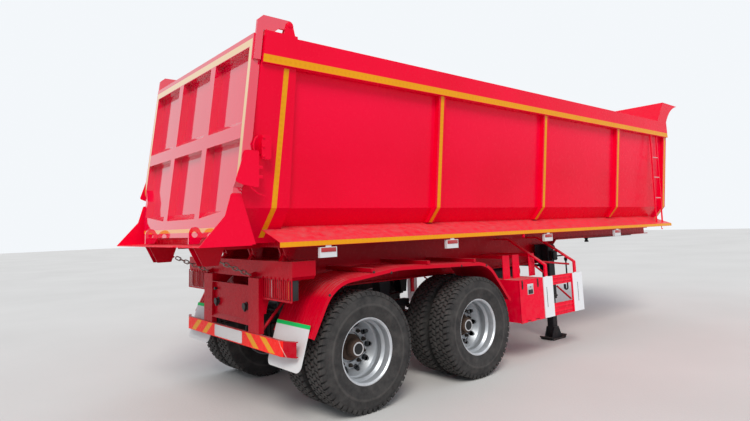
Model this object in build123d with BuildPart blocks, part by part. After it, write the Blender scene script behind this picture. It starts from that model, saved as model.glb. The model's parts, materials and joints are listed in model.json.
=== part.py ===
"""Rear-tipping two-axle semi-trailer with twin wheels, standing on its landing legs.

Millimetres. +X points to the kingpin, +Y to the left side, +Z up. The origin is on the
ground, at the centre of the length and of the width.
"""
from build123d import *
from math import hypot
import os

os.makedirs("parts", exist_ok=True)

# ---- stations along X ----
overall_length = 9082
tail_overhang = 1562          # tail lip behind the rear axle
axle_spacing = 1565
tub_reach = 7000              # front wall's outer face ahead of the rear axle
tail_lip_x = -overall_length / 2
rear_axle_x = tail_lip_x + tail_overhang
front_axle_x = rear_axle_x + axle_spacing
front_wall_x = rear_axle_x + tub_reach
visor_tip_x = overall_length / 2

# ---- tub ----
floor_z = 1600                # top of the floor plate
floor_half = 795
wall_t = 6
bend_z = 1850                 # where the side wall turns in
rail_z = 3075                 # underside of the top rail
rail_top_z = 3340
rail_half = 1250              # outer face of the top rail
rail_width = 100
rail_t = 5
wall_lean = 0.117             # sideways run for each unit of height
stake_depth = 55              # stakes and posts stand this far out from the wall
stake_width = 110
stake_t = 5
stake_pitch = 2035
stake_count = 3
first_stake = 1165            # ahead of the rear axle
seat = 0.3                    # gap where slanted or round faces would touch
ledge_z = 1690                # where the side ledge leaves the wall's chamfer
ledge_half = 1250
ledge_lip_z = 1560
ledge_lip_h = 44
ledge_t = 5
ledge_rear = 930              # behind the rear axle
ledge_front_gap = 230         # between the ledge's front end and the front wall
front_rib_d = 50              # upright ribs on the front wall
visor_h = 370                 # above the rails
visor_back = 360              # foot of the visor's rear board behind the front wall
visor_t = 5
ladder_back = 650             # rear stile behind the front wall
ladder_w = 245

# ---- tailgate and rear end ----
rake = 0.1056                 # rearward run of the tailgate for each unit of height
gate_top_z = 3335
gate_face = 1136              # gate's outer face behind the rear axle, at its top
gate_t = 80
gate_gap = 6                  # between the gate and the rear posts
gate_skin_t = 5
gate_half = 1200
gate_mid_z = 2150             # the gate narrows below this to pass between the wings
gate_low_half = 1100
gate_bottom_half = 985
gate_bottom_z = 1618
gate_top_bar = 115
gate_side_bar = 58
gate_mid_bar = 122
gate_mid_bar_z = 2425
gate_low_bar_z = 1785
gate_rib_w = 108
gate_rib_y = 405
gate_sill_h = 55              # sloped sills at the foot of the gate's pockets
post_front = 732              # front edge of the rear post behind the rear axle
post_cap_t = 24
chute_z = 1551                # top of the chute floor
chute_half = 1118
chute_t = 8
pivot_z = 3458
pivot_back = 805              # tailgate pivot behind the rear axle
pivot_pin_r = 15
pivot_ear_t = 12
arm_t = 24
arm_h = 90
arm_foot_z = 3100             # lower end of the arms on the gate's sides
latch_y = 1206                # inner face of the guard plates beside the gate
latch_t = 8
lug_y = 575
lug_t = 20
slot_w = 60

# ---- chassis ----
beam_y = 500                  # middle of each main beam
beam_flange_w = 140
beam_flange_t = 12
beam_web_t = 10
chassis_top_z = 1490
neck_bottom_z = 1375
beam_bottom_z = 1060
neck_length = 1900            # from the neck's rear end to the kingpin
neck_slope = 400              # length of the slope down to the deep part
kingpin_back = 850            # behind the tub's front wall
chassis_ahead = 360           # ahead of the tub's front wall
tub_beam_w = 90
tub_beam_gap = 8              # between the tub's beams and the chassis
tip_hinge_back = 655          # behind the rear axle
tip_hinge_z = 1440
hinge_pin_r = 25
hinge_clear = 0.06
hinge_spread = (300, 900)     # tipping hinges out from the centre line, on each side
hinge_ear_t = 52
hanger_t = 18
rear_beam_back = 750          # rear face of the rear cross beam
rear_beam_depth = 240
rear_beam_z = 1225
rear_beam_top_z = 1385
rear_beam_half = 1140
bumper_z = 595
bumper_h = 130
bumper_half = 1020
bumper_back = 800
plate_t = 8

# ---- running gear ----
tyre_d = 1076
tyre_width = 290
bead_r = 285.75               # 22.5 inch bead seat
flange_r = 298.5
rim_width = 228
twin_spacing = 350            # between the rims' centre planes
track_half = 920              # from the centre line to the middle of the twins
hub_z = tyre_d / 2
hand_hole_r = 28
hand_hole_ring = 205
hand_holes = 10
hub_r = 140.5
drum_r = 205
drum_length = 166
spindle_r = 45
axle_side = 140
spring_y = 500
spring_w = 90
spring_span = 860
spring_low_z = 628
leaf_count = 6
leaf_t = 18
spring_rise = 30              # of each leaf's ends
spring_top_z = spring_low_z + leaf_count * leaf_t

# ---- tipping cylinder ----
cylinder_ahead = 230          # ahead of the tub's front wall
cylinder_foot_z = 1560        # trunnion
lift_eye_z = 2950
barrel_r = 92
cylinder_length = 1310
stage_count = 5
stage_wall = 6
stage_clear = 0.9
trunnion_r = 30
recess_half = 130             # half width of the recess in the front wall for the cylinder
recess_depth = 310            # at the floor
recess_h = 975                # from the floor's underside to where the recess runs out

# ---- chains from the rear beam to the gate's hooks ----
chain_y = 480
chain_low = (800, 1250)       # behind the rear axle, and height: eye on the rear beam
chain_high = (1170, 1420)     # hook pin under the chute
link_wire = 11
link_pitch = 48
link_inside = 20
link_gap = 0.4

# ---- derived places ----
shoulder = tyre_width / 2
lift_eye_x = front_wall_x + cylinder_ahead
tip_hinge_x = rear_axle_x - tip_hinge_back
rear_beam_x = rear_axle_x - rear_beam_back
beam_rear_x = rear_beam_x + rear_beam_depth
post_front_x = rear_axle_x - post_front
pivot_x = rear_axle_x - pivot_back
pivot_y = gate_half + arm_t / 2
tub_beam_z = chassis_top_z + tub_beam_gap
floor_under_z = floor_z - wall_t
chassis_front_x = front_wall_x + chassis_ahead
kingpin_x = front_wall_x - kingpin_back
neck_x = kingpin_x - neck_length
recess_lean = recess_depth / recess_h
recess_x = front_wall_x - recess_depth


def wall_half(z, inset=0.0):
    """Half width of the tub's outer envelope at height z, on the leaning wall."""
    return rail_half - wall_lean * (rail_top_z - z) - inset


chamfer_slope = (wall_half(bend_z, stake_depth) - floor_half - wall_t) / (bend_z - floor_under_z)
ledge_slope = (ledge_z - ledge_lip_z) / (ledge_half - wall_half(bend_z, stake_depth)
                                         + chamfer_slope * (bend_z - ledge_z))


def chamfer_half(z, inset=0.0):
    """Half width of the envelope at height z, on the chamfer under the bend."""
    return wall_half(bend_z, inset) - chamfer_slope * (bend_z - z)


def strip(outer, inner, top, low):
    """Section of a strip that follows the side wall, between two insets."""
    return [
        (wall_half(top, outer), top),
        (wall_half(bend_z, outer), bend_z),
        (chamfer_half(low, outer), low),
        (chamfer_half(low, inner), low),
        (wall_half(bend_z, inner), bend_z),
        (wall_half(top, inner), top),
    ]


def gate_x(z):
    """X of the tailgate's outer face at height z."""
    return rear_axle_x - gate_face - (gate_top_z - z) * rake


def post_x(z):
    """X of the rear posts' rear face at height z."""
    return gate_x(z) + gate_t + gate_gap


def slab(front_inset, back_inset, low, top):
    """Side view of a raked layer of the tailgate, by depths from its outer face."""
    return [
        (gate_x(low) + front_inset, low), (gate_x(low) + back_inset, low),
        (gate_x(top) + back_inset, top), (gate_x(top) + front_inset, top),
    ]


def box(x, y, z):
    """Box between two values on each axis."""
    with BuildPart() as made:
        with BuildSketch(Plane.XY.offset(z[0])):
            with Locations(((x[0] + x[1]) / 2, (y[0] + y[1]) / 2)):
                Rectangle(x[1] - x[0], y[1] - y[0])
        extrude(amount=z[1] - z[0])
    return made.part


# =====================================================================  TUB
tub_rear_x = post_x(floor_z)
wall_foot = (floor_half + wall_t, floor_under_z)
wall_run = wall_t * hypot(1, wall_lean)          # the wall's thickness measured across the tub
chamfer_run = wall_t * hypot(1, chamfer_slope)   # and on the chamfer
floor_edge = floor_half - seat
recess_plate_run = wall_t * hypot(1, recess_lean)
recess_foot_x = recess_x - recess_plate_run

with BuildPart() as tub_floor:
    with BuildSketch(Plane.XY.offset(floor_under_z)):
        half = [(tub_rear_x, floor_edge), (front_wall_x - wall_t - seat, floor_edge),
                (front_wall_x - wall_t - seat, recess_half), (recess_foot_x - seat, recess_half)]
        Polygon(*half, *[(x, -y) for x, y in reversed(half)], align=None)
    extrude(amount=wall_t)
tub_floor.part.label = "tub_floor"

with BuildPart() as side_wall_left:
    with BuildSketch(Plane.YZ.offset(post_front_x)):
        with BuildLine():
            Polyline(wall_foot, (wall_half(bend_z, stake_depth), bend_z),
                     (wall_half(rail_z - 1, stake_depth), rail_z - 1))
            offset(amount=wall_t, side=Side.LEFT)
        make_face()
    extrude(amount=front_wall_x - post_front_x)
side_wall_left.part.label = "side_wall_left"

with BuildPart() as side_wall_right:
    mirror(side_wall_left.part, about=Plane.XZ)
side_wall_right.part.label = "side_wall_right"

# front wall with its top rail, its upright ribs and the slot for the cylinder's recess
recess_top_z = floor_under_z + recess_h + recess_plate_run / recess_lean
with BuildPart() as front_wall:
    half = [(wall_foot[0] - chamfer_run - seat, floor_under_z),
            (wall_half(bend_z, stake_depth) - chamfer_run - seat, bend_z),
            (wall_half(rail_z, stake_depth) - wall_run - seat, rail_z)]
    with BuildSketch(Plane.YZ.offset(front_wall_x - wall_t)):
        Polygon(*half, *[(-y, z) for y, z in reversed(half)], align=None)
    extrude(amount=wall_t)
    add(box((front_wall_x - wall_t - 1, front_wall_x + 1), (-recess_half, recess_half),
            (floor_under_z - 1, recess_top_z + seat)), mode=Mode.SUBTRACT)
    for y in (-600, -200, 200, 600):
        with BuildSketch(Plane.XY.offset(floor_under_z)):
            with Locations((front_wall_x + front_rib_d / 2, y)):
                Rectangle(front_rib_d, 80)
            with Locations((front_wall_x + front_rib_d / 2 - rail_t, y)):
                Rectangle(front_rib_d, 80 - 2 * rail_t, mode=Mode.SUBTRACT)
        extrude(amount=rail_z - floor_under_z)
    inner_half = rail_half - rail_width - seat
    with BuildSketch(Plane.XZ.offset(-inner_half)):
        with Locations((front_wall_x - rail_width / 2, (rail_z + rail_top_z) / 2)):
            Rectangle(rail_width, rail_top_z - rail_z)
            Rectangle(rail_width - 2 * rail_t, rail_top_z - rail_z - 2 * rail_t, mode=Mode.SUBTRACT)
    extrude(amount=2 * inner_half)
front_wall.part.label = "front_wall"

# slanted plate and two cheeks that let the leaning cylinder through the front wall's foot
with BuildPart() as cylinder_housing:
    recess_slope = [(recess_x, floor_under_z), (front_wall_x, floor_under_z + recess_h)]
    with BuildSketch(Plane.XZ.offset(-recess_half)):
        Polygon(*recess_slope, (front_wall_x, recess_top_z), (recess_foot_x, floor_under_z), align=None)
    extrude(amount=2 * recess_half)
    for y in (-recess_half, recess_half - wall_t):
        with BuildSketch(Plane.XZ.offset(-y)):
            Polygon(*recess_slope, (front_wall_x, floor_under_z), align=None)
        extrude(amount=-wall_t)
cylinder_housing.part.label = "cylinder_housing"

# cheeks on the front wall either side of the cylinder's eye
with BuildPart() as lift_bracket:
    wall_face_x = front_wall_x + seat
    for y in (-120, 98):
        with BuildSketch(Plane.XZ.offset(-y)):
            with BuildLine():
                Polyline((wall_face_x, lift_eye_z - 190), (lift_eye_x + 20, lift_eye_z - 50))
                ThreePointArc((lift_eye_x + 20, lift_eye_z - 50), (lift_eye_x + 55, lift_eye_z),
                              (lift_eye_x + 20, lift_eye_z + 50))
                Polyline((lift_eye_x + 20, lift_eye_z + 50), (wall_face_x, lift_eye_z + 110),
                         (wall_face_x, lift_eye_z - 190))
            make_face()
            with Locations((lift_eye_x, lift_eye_z)):
                Circle(22, mode=Mode.SUBTRACT)
        extrude(amount=-22)
    add(box((wall_face_x, wall_face_x + 12), (-130, 130), (lift_eye_z - 200, lift_eye_z + 120)))
lift_bracket.part.label = "lift_bracket"

with BuildPart() as top_rail_left:
    with BuildSketch(Plane.YZ.offset(post_front_x)):
        with Locations((rail_half - rail_width / 2, (rail_z + rail_top_z) / 2)):
            Rectangle(rail_width, rail_top_z - rail_z)
            Rectangle(rail_width - 2 * rail_t, rail_top_z - rail_z - 2 * rail_t, mode=Mode.SUBTRACT)
    extrude(amount=front_wall_x - post_front_x)
top_rail_left.part.label = "top_rail_left"

with BuildPart() as top_rail_right:
    mirror(top_rail_left.part, about=Plane.XZ)
top_rail_right.part.label = "top_rail_right"

# hollow visor that curls forward over the cylinder, open underneath between the rails
visor_foot_x = front_wall_x - visor_back
visor_top_z = rail_top_z + visor_h
back_lean = (visor_back - 60) / visor_h
with BuildPart() as front_visor:
    for inset, low_z, mode in ((0, rail_top_z, Mode.ADD), (visor_t, rail_top_z - 5, Mode.SUBTRACT)):
        foot = (visor_foot_x + 1.3 * inset + (low_z - rail_top_z) * back_lean, low_z)
        nose = (visor_tip_x - 7 * inset, visor_top_z - 16 - inset / 2)
        chin = (front_wall_x - inset, rail_top_z + 10)
        with BuildSketch(Plane.XZ.offset(-(rail_half - inset))):
            with BuildLine():
                Polyline(foot, (front_wall_x - 60 + inset / 2, visor_top_z - inset),
                         (nose[0], visor_top_z - 10 - inset), nose)
                ThreePointArc(nose, (front_wall_x + 150 - inset, rail_top_z + 178 + inset), chin)
                Polyline(chin, (front_wall_x - inset, low_z), foot)
            make_face()
        extrude(amount=2 * (rail_half - inset), mode=mode)
front_visor.part.label = "front_visor"

# channel stakes on the walls, from the rail to the ledge, and a corner post at the front


def channel_stake(at, foot_z):
    """Open channel over the side wall, from the rail down to foot_z."""
    with BuildPart() as made:
        with BuildSketch(Plane.YZ.offset(at)):
            Polygon(*strip(0, stake_depth - seat, rail_z, foot_z), align=None)
        extrude(amount=stake_width)
        with BuildSketch(Plane.YZ.offset(at + stake_t)):
            Polygon(*strip(stake_t, stake_depth + 1, rail_z, foot_z), align=None)
        extrude(amount=stake_width - 2 * stake_t, mode=Mode.SUBTRACT)
    return made.part


stake_foot_z = ledge_z + seat
stakes = []
for i in range(stake_count):
    stake_x = rear_axle_x + first_stake + i * stake_pitch
    stakes.append(channel_stake(stake_x - stake_width / 2, stake_foot_z))
stakes.append(channel_stake(front_wall_x - stake_width, floor_under_z))

with BuildPart() as side_stakes_left:
    add(stakes)
side_stakes_left.part.label = "side_stakes_left"

with BuildPart() as side_stakes_right:
    mirror(side_stakes_left.part, about=Plane.XZ)
side_stakes_right.part.label = "side_stakes_right"

# sloping side ledge with its upright lip
ledge_foot = chamfer_half(ledge_z, stake_depth) + seat
post_edge = chamfer_half(ledge_z, 0) + seat


def ledge_top(y):
    """Height of the ledge's top face at y."""
    return ledge_z - (y - ledge_foot) * ledge_slope


def ledge_line(inner):
    """Top line of the ledge from its inner edge to the foot of its lip."""
    return [(inner, ledge_top(inner)),
            (ledge_half, ledge_lip_z), (ledge_half, ledge_lip_z - ledge_lip_h)]


with BuildPart() as side_ledge_left:
    with BuildSketch(Plane.YZ.offset(post_front_x)):
        with BuildLine():
            Polyline(*ledge_line(ledge_foot))
            offset(amount=ledge_t, side=Side.RIGHT)
        make_face()
    extrude(amount=front_wall_x - ledge_front_gap - post_front_x)
    with BuildSketch(Plane.YZ.offset(rear_axle_x - ledge_rear)):
        with BuildLine():
            Polyline(*ledge_line(post_edge + ledge_t))
            offset(amount=ledge_t, side=Side.RIGHT)
        make_face()
    extrude(amount=ledge_rear - post_front)
side_ledge_left.part.label = "side_ledge_left"

with BuildPart() as side_ledge_right:
    mirror(side_ledge_left.part, about=Plane.XZ)
side_ledge_right.part.label = "side_ledge_right"


def post_shape(inset, low, top):
    """Rear post, or its hollow, shrunk by inset on every face."""
    with BuildPart() as made:
        with BuildSketch(Plane.YZ.offset(post_x(low) - 10)):
            Polygon(*strip(inset, stake_depth + wall_t - inset, top, low), align=None)
        extrude(amount=post_front_x - post_x(low) + 10)
        with BuildSketch(Plane.XZ.offset(-2 * rail_half)):
            Polygon((post_x(low) + inset, low), (post_front_x - inset, low),
                    (post_front_x - inset, top), (post_x(top) + inset, top), align=None)
        extrude(amount=2 * rail_half, mode=Mode.INTERSECT)
    return made.part


def rail_end(inset):
    """End of the top rail on the rear post, raked like the gate, shrunk by inset."""
    with BuildPart() as made:
        with BuildSketch(Plane.XZ.offset(-(rail_half - inset))):
            Polygon((post_x(rail_z) + inset, rail_z + inset), (post_front_x - inset, rail_z + inset),
                    (post_front_x - inset, rail_top_z - inset), (post_x(rail_top_z) + inset, rail_top_z - inset),
                    align=None)
        extrude(amount=rail_width - 2 * inset)
    return made.part


with BuildPart() as rear_post_left:
    add(post_shape(0, chute_z, rail_z))
    add(rail_end(0))
    add(post_shape(wall_t, chute_z - 5, rail_z + wall_t + 1), mode=Mode.SUBTRACT)
    add(rail_end(wall_t), mode=Mode.SUBTRACT)
    # cap plate, and the two ears that carry the tailgate's pivot
    add(box((post_x(rail_top_z), post_front_x), (rail_half - rail_width, rail_half),
            (rail_top_z, rail_top_z + post_cap_t)))
    ear_y = arm_t / 2 + 2
    for y in (pivot_y - ear_y - pivot_ear_t, pivot_y + ear_y):
        with BuildSketch(Plane.XZ.offset(-y)):
            with BuildLine():
                Polyline((pivot_x - 60, rail_top_z + post_cap_t), (pivot_x + 55, rail_top_z + post_cap_t),
                         (pivot_x + 32, pivot_z))
                ThreePointArc((pivot_x + 32, pivot_z), (pivot_x, pivot_z + 32), (pivot_x - 32, pivot_z))
                Line((pivot_x - 32, pivot_z), (pivot_x - 60, rail_top_z + post_cap_t))
            make_face()
        extrude(amount=-pivot_ear_t)
    with BuildSketch(Plane.XZ.offset(-(pivot_y - ear_y - pivot_ear_t - 8))):
        with Locations((pivot_x, pivot_z)):
            Circle(pivot_pin_r)
    extrude(amount=-2 * (ear_y + pivot_ear_t + 8))
    # guard plate beside the gate, on two gussets, and the latch plate above it
    with BuildSketch(Plane.XZ.offset(-latch_y)) as guard_plate:
        Polygon((rear_axle_x - 1100, 2320), (rear_axle_x - 1225, 2320), (rear_axle_x - 1310, 2060),
                (rear_axle_x - 1250, 2035), (rear_axle_x - 1100, 2010), align=None)
        fillet(guard_plate.vertices(), 18)
    extrude(amount=-latch_t)
    for z in (2060, 2290):
        add(box((rear_axle_x - 1150, rear_axle_x - 1104), (wall_half(z) - 4, latch_y), (z, z + 8)))
    with BuildSketch(Plane.XZ.offset(-(latch_y - 10))) as latch_plate:
        with Locations((rear_axle_x - 1025, 2355)):
            RectangleRounded(90, 210, 20)
    extrude(amount=-10)
    add(box((rear_axle_x - 1055, rear_axle_x - 995), (wall_half(2300) - 4, latch_y - 10), (2300, 2410)))
rear_post_left.part.label = "rear_post_left"

with BuildPart() as rear_post_right:
    mirror(rear_post_left.part, about=Plane.XZ)
rear_post_right.part.label = "rear_post_right"

# chute: floor plate with two open slots, a sill and two wings
chute_front_x = tub_rear_x + 120
lug_x = gate_x(gate_bottom_z) + 30
with BuildPart() as tail_chute:
    add(box((tail_lip_x, chute_front_x), (-chute_half, chute_half), (chute_z - chute_t, chute_z)))
    for y in (-lug_y, lug_y):
        add(box((tail_lip_x - 1, lug_x + 60), (y - slot_w / 2, y + slot_w / 2),
                (chute_z - chute_t - 1, chute_z + 1)), mode=Mode.SUBTRACT)
    sill_half = chamfer_half(chute_z, stake_depth + wall_t) - seat
    add(box((tub_rear_x, tub_rear_x + 10), (-sill_half, sill_half), (chute_z, floor_under_z)))
    for y in (-chute_half, chute_half - chute_t):
        with BuildSketch(Plane.XZ.offset(-y)):
            with BuildLine():
                Polyline((tail_lip_x, chute_z), (rear_axle_x - 1350, 1790), (rear_axle_x - 1305, 1950))
                ThreePointArc((rear_axle_x - 1305, 1950), (rear_axle_x - 1298, 1965),
                              (rear_axle_x - 1285, 1970))
                Polyline((rear_axle_x - 1285, 1970), (rear_axle_x - 1215, 1970),
                         (rear_axle_x - 1080, chute_z), (tail_lip_x, chute_z))
            make_face()
        extrude(amount=-chute_t)
    # closing plates between the wings and the posts
    for side in (-1, 1):
        with BuildSketch(Plane.YZ.offset(rear_axle_x - 1165)):
            Polygon((side * (chute_half - chute_t), chute_z), (side * (chute_half - chute_t), 1780),
                    (side * (chamfer_half(1780) + seat), 1780),
                    (side * (chamfer_half(chute_z) + seat), chute_z), align=None)
        extrude(amount=8)
tail_chute.part.label = "tail_chute"

# frame under the tub: two long beams, and a rear cross beam with the hangers of the hinges
cross_beam_x = (tip_hinge_x - 76.5, tip_hinge_x + 85)
hanger_foot_z = tub_beam_z + 8
with BuildPart() as tub_subframe:
    for y in (-beam_y, beam_y):
        for x in ((chute_front_x + seat, cross_beam_x[0]), (cross_beam_x[1], front_wall_x)):
            add(box(x, (y - tub_beam_w / 2, y + tub_beam_w / 2), (tub_beam_z, floor_under_z)))
    cross_beam_half = hinge_spread[-1] + hinge_ear_t / 2 + hanger_t + 66
    add(box(cross_beam_x, (-cross_beam_half, cross_beam_half), (hanger_foot_z, floor_under_z)))
    for y in [side * spread for side in (-1, 1) for spread in hinge_spread]:
        for at in (y - hinge_ear_t / 2 - hanger_t - 3, y + hinge_ear_t / 2 + 3):
            with BuildSketch(Plane.XZ.offset(-at)):
                with BuildLine():
                    Polyline((tip_hinge_x - 70, hanger_foot_z), (tip_hinge_x - 45, tip_hinge_z))
                    ThreePointArc((tip_hinge_x - 45, tip_hinge_z), (tip_hinge_x, tip_hinge_z - 45),
                                  (tip_hinge_x + 45, tip_hinge_z))
                    Polyline((tip_hinge_x + 45, tip_hinge_z), (tip_hinge_x + 70, hanger_foot_z),
                             (tip_hinge_x - 70, hanger_foot_z))
                make_face()
                with Locations((tip_hinge_x, tip_hinge_z)):
                    Circle(hinge_pin_r + hinge_clear, mode=Mode.SUBTRACT)
            extrude(amount=-hanger_t)
tub_subframe.part.label = "tub_subframe"

# cross members between and outside the long beams, short of the cylinder's recess
member_w = 60
member_pitch = 640
first_member_x = rear_axle_x - 380
member_count = int((front_wall_x - first_member_x - member_w) // member_pitch) + 1
inner_edge = beam_y - tub_beam_w / 2
outer_edge = beam_y + tub_beam_w / 2
with BuildPart() as tub_cross_members:
    for i in range(member_count):
        x = first_member_x + i * member_pitch
        spans = [(-floor_half + 20, -outer_edge), (outer_edge, floor_half - 20)]
        if x + member_w < recess_foot_x - 40:
            spans.append((-inner_edge, inner_edge))
        for y in spans:
            add(box((x, x + member_w), y, (tub_beam_z + 20, floor_under_z)))
tub_cross_members.part.label = "tub_cross_members"

# released hooks under the chute, each between two guide plates
with BuildPart() as gate_hooks:
    for y in (-lug_y, lug_y):
        for side in (-1, 1):
            at = y + side * 60 - 5
            with BuildSketch(Plane.XZ.offset(-at)):
                Polygon((rear_axle_x - 1420, chute_z - chute_t), (rear_axle_x - 1130, chute_z - chute_t),
                        (rear_axle_x - 1190, 1370), (rear_axle_x - 1330, 1370), align=None)
            extrude(amount=-10)
        with BuildSketch(Plane.XZ.offset(-(y - 55))):
            with Locations((rear_axle_x - 1250, 1410)):
                Circle(18)
        extrude(amount=-110)
        # pin that the chain's last link hangs beside
        way = y / abs(y)
        with BuildSketch(Plane.XZ.offset(-way * (lug_y - 65))):
            with Locations((rear_axle_x - chain_high[0], chain_high[1])):
                Circle(9)
        extrude(amount=way * 8)
        with BuildSketch(Plane.XZ.offset(-(y - 12))):
            with BuildLine():
                Polyline((rear_axle_x - 1275, 1425), (rear_axle_x - 1225, 1425), (rear_axle_x - 1150, 1500),
                         (rear_axle_x - 1185, 1520), (rear_axle_x - 1235, 1470), (rear_axle_x - 1275, 1470),
                         close=True)
            make_face()
        extrude(amount=-24)
gate_hooks.part.label = "gate_hooks"

# two stiles from the rail down to the ledge, with three rungs
stile_t = 20
ladder_top_half = rail_half - 20
ladder_foot_half = ledge_half - 60
ladder_x = front_wall_x - ladder_back
with BuildPart() as ladder:
    for x in (ladder_x, ladder_x + ladder_w - stile_t):
        with BuildSketch(Plane.YZ.offset(x)):
            Polygon((-ladder_top_half, rail_z), (-ladder_foot_half, ledge_top(ladder_foot_half) + seat),
                    (stile_t - ladder_foot_half, ledge_top(ladder_foot_half - stile_t) + seat),
                    (stile_t - ladder_top_half, rail_z), align=None)
        extrude(amount=stile_t)
    for z in (1990, 2340, 2680):
        y = -ladder_foot_half - (z - floor_z) * (ladder_top_half - ladder_foot_half) / (rail_z - floor_z)
        add(box((ladder_x + stile_t, ladder_x + ladder_w - stile_t), (y, y + 18), (z, z + 18)))
ladder.part.label = "ladder"

lamp_stations = (-440, 1175, 3000, 4840)
with BuildPart() as marker_lamps:
    for x in lamp_stations:
        for side in (-1, 1):
            y = sorted((side * (ledge_half - ledge_t), side * (ledge_half - 38)))
            add(box((rear_axle_x + x - 90, rear_axle_x + x + 90), y, (1410, 1500)))
            y = sorted((side * (ledge_half - ledge_t), side * (ledge_half - ledge_t - 6)))
            add(box((rear_axle_x + x - 30, rear_axle_x + x + 30), y, (1495, 1548)))
marker_lamps.part.label = "marker_lamps"

# =====================================================================  TAILGATE
gate_outline = [
    (gate_bottom_half, gate_bottom_z), (gate_low_half, bend_z), (gate_low_half, gate_mid_z - 130),
    (gate_half, gate_mid_z), (gate_half, gate_top_z),
]
gate_outline += [(-y, z) for y, z in reversed(gate_outline)]

with BuildPart() as tailgate_panel:
    with BuildSketch(Plane.YZ.offset(gate_x(gate_bottom_z) - 50)):
        Polygon(*gate_outline, align=None)
    extrude(amount=600)
    with BuildSketch(Plane.XZ.offset(-2 * gate_half)):
        Polygon(*slab(gate_t - gate_skin_t, gate_t, gate_bottom_z - 5, gate_top_z + 5), align=None)
    extrude(amount=4 * gate_half, mode=Mode.INTERSECT)
tailgate_panel.part.label = "tailgate_panel"

pocket_half = gate_half - gate_side_bar
with BuildPart() as tailgate_frame:
    with BuildSketch(Plane.YZ.offset(gate_x(gate_bottom_z) - 50)) as gate_ribs:
        Polygon(*gate_outline, align=None)
        for low, top in ((gate_mid_bar_z + gate_mid_bar, gate_top_z - gate_top_bar),
                         (gate_low_bar_z, gate_mid_bar_z)):
            with Locations((0, (low + top) / 2)):
                Rectangle(2 * gate_rib_y - gate_rib_w, top - low, mode=Mode.SUBTRACT)
            for side in (-1, 1):
                inner = gate_rib_y + gate_rib_w / 2
                if low > gate_mid_bar_z:
                    side_points = [(inner, low), (pocket_half, low), (pocket_half, top), (inner, top)]
                else:
                    side_points = [(inner, low), (gate_low_half - gate_side_bar, low + 60),
                                   (gate_low_half - gate_side_bar, gate_mid_z - 130),
                                   (pocket_half, gate_mid_z), (pocket_half, top), (inner, top)]
                Polygon(*[(side * y, z) for y, z in side_points], align=None, mode=Mode.SUBTRACT)
    extrude(amount=600)
    with BuildSketch(Plane.XZ.offset(-2 * gate_half)):
        Polygon(*slab(0, gate_t - gate_skin_t, gate_bottom_z - 5, gate_top_z + 5), align=None)
    extrude(amount=4 * gate_half, mode=Mode.INTERSECT)
    # sloped sill along the foot of each row of pockets
    skin_depth = gate_t - gate_skin_t
    for low, half in ((gate_mid_bar_z + gate_mid_bar, pocket_half), (gate_low_bar_z, gate_low_half - gate_side_bar)):
        with BuildSketch(Plane.XZ.offset(-half)):
            Polygon((gate_x(low) + 4, low), (gate_x(low) + skin_depth, low),
                    (gate_x(low + gate_sill_h) + skin_depth, low + gate_sill_h), align=None)
        extrude(amount=2 * half)
tailgate_frame.part.label = "tailgate_frame"

# arms on the gate's sides, bent forward over its top to the pivots on the post caps
with BuildPart() as tailgate_arms:
    low_z = pivot_z - arm_h / 2
    high_z = pivot_z + arm_h / 2
    knee_z = rail_top_z + post_cap_t + 6
    knee_x = pivot_x - 150
    for y in (-pivot_y, pivot_y):
        with BuildSketch(Plane.XZ.offset(-(y - arm_t / 2))) as arm:
            with BuildLine():
                Polyline((gate_x(arm_foot_z) + 10, arm_foot_z), (gate_x(arm_foot_z) + 74, arm_foot_z),
                         (gate_x(knee_z) + 74, knee_z), (knee_x, knee_z), (knee_x + 50, low_z),
                         (pivot_x, low_z))
                ThreePointArc((pivot_x, low_z), (pivot_x + arm_h / 2, pivot_z), (pivot_x, high_z))
                Polyline((pivot_x, high_z), (gate_x(high_z) + 60, high_z),
                         (gate_x(high_z - 50) + 10, high_z - 50), (gate_x(arm_foot_z) + 10, arm_foot_z))
            make_face()
            with Locations((pivot_x, pivot_z)):
                Circle(pivot_pin_r + hinge_clear, mode=Mode.SUBTRACT)
        extrude(amount=-arm_t)
tailgate_arms.part.label = "tailgate_arms"

# arched lugs that pass through the chute's slots
with BuildPart() as lock_lugs:
    for y in (-lug_y, lug_y):
        with BuildSketch(Plane.XZ.offset(-(y - lug_t / 2))):
            with BuildLine():
                Polyline((lug_x - 150, chute_z + 12), (lug_x - 150, chute_z + 110))
                ThreePointArc((lug_x - 150, chute_z + 110), (lug_x - 98, chute_z + 160),
                              (lug_x - 46, chute_z + 120))
                Polyline((lug_x - 46, chute_z + 120), (gate_x(chute_z + 100) - seat, chute_z + 100),
                         (gate_x(chute_z + 68) - seat, chute_z + 68), (lug_x - 60, chute_z + 12),
                         (lug_x - 150, chute_z + 12))
            make_face()
            with Locations((lug_x - 98, chute_z + 95)):
                Circle(26, mode=Mode.SUBTRACT)
        extrude(amount=-lug_t)
lock_lugs.part.label = "lock_lugs"

# =====================================================================  CHASSIS
beam_bottom = [
    (beam_rear_x, beam_bottom_z), (neck_x - neck_slope, beam_bottom_z),
    (neck_x, neck_bottom_z), (chassis_front_x, neck_bottom_z),
]
with BuildPart() as main_beams:
    for y in (-beam_y, beam_y):
        with BuildSketch(Plane.XZ.offset(-(y - beam_web_t / 2))):
            Polygon(*beam_bottom, (chassis_front_x, chassis_top_z), (beam_rear_x, chassis_top_z), align=None)
        extrude(amount=-beam_web_t)
        with BuildSketch(Plane.XZ.offset(-(y - beam_flange_w / 2))):
            with BuildLine():
                Polyline(*beam_bottom)
                offset(amount=beam_flange_t, side=Side.LEFT)
            make_face()
        extrude(amount=-beam_flange_w)
        add(box((beam_rear_x, chassis_front_x), (y - beam_flange_w / 2, y + beam_flange_w / 2),
                (chassis_top_z - beam_flange_t, chassis_top_z)))
main_beams.part.label = "main_beams"

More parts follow.
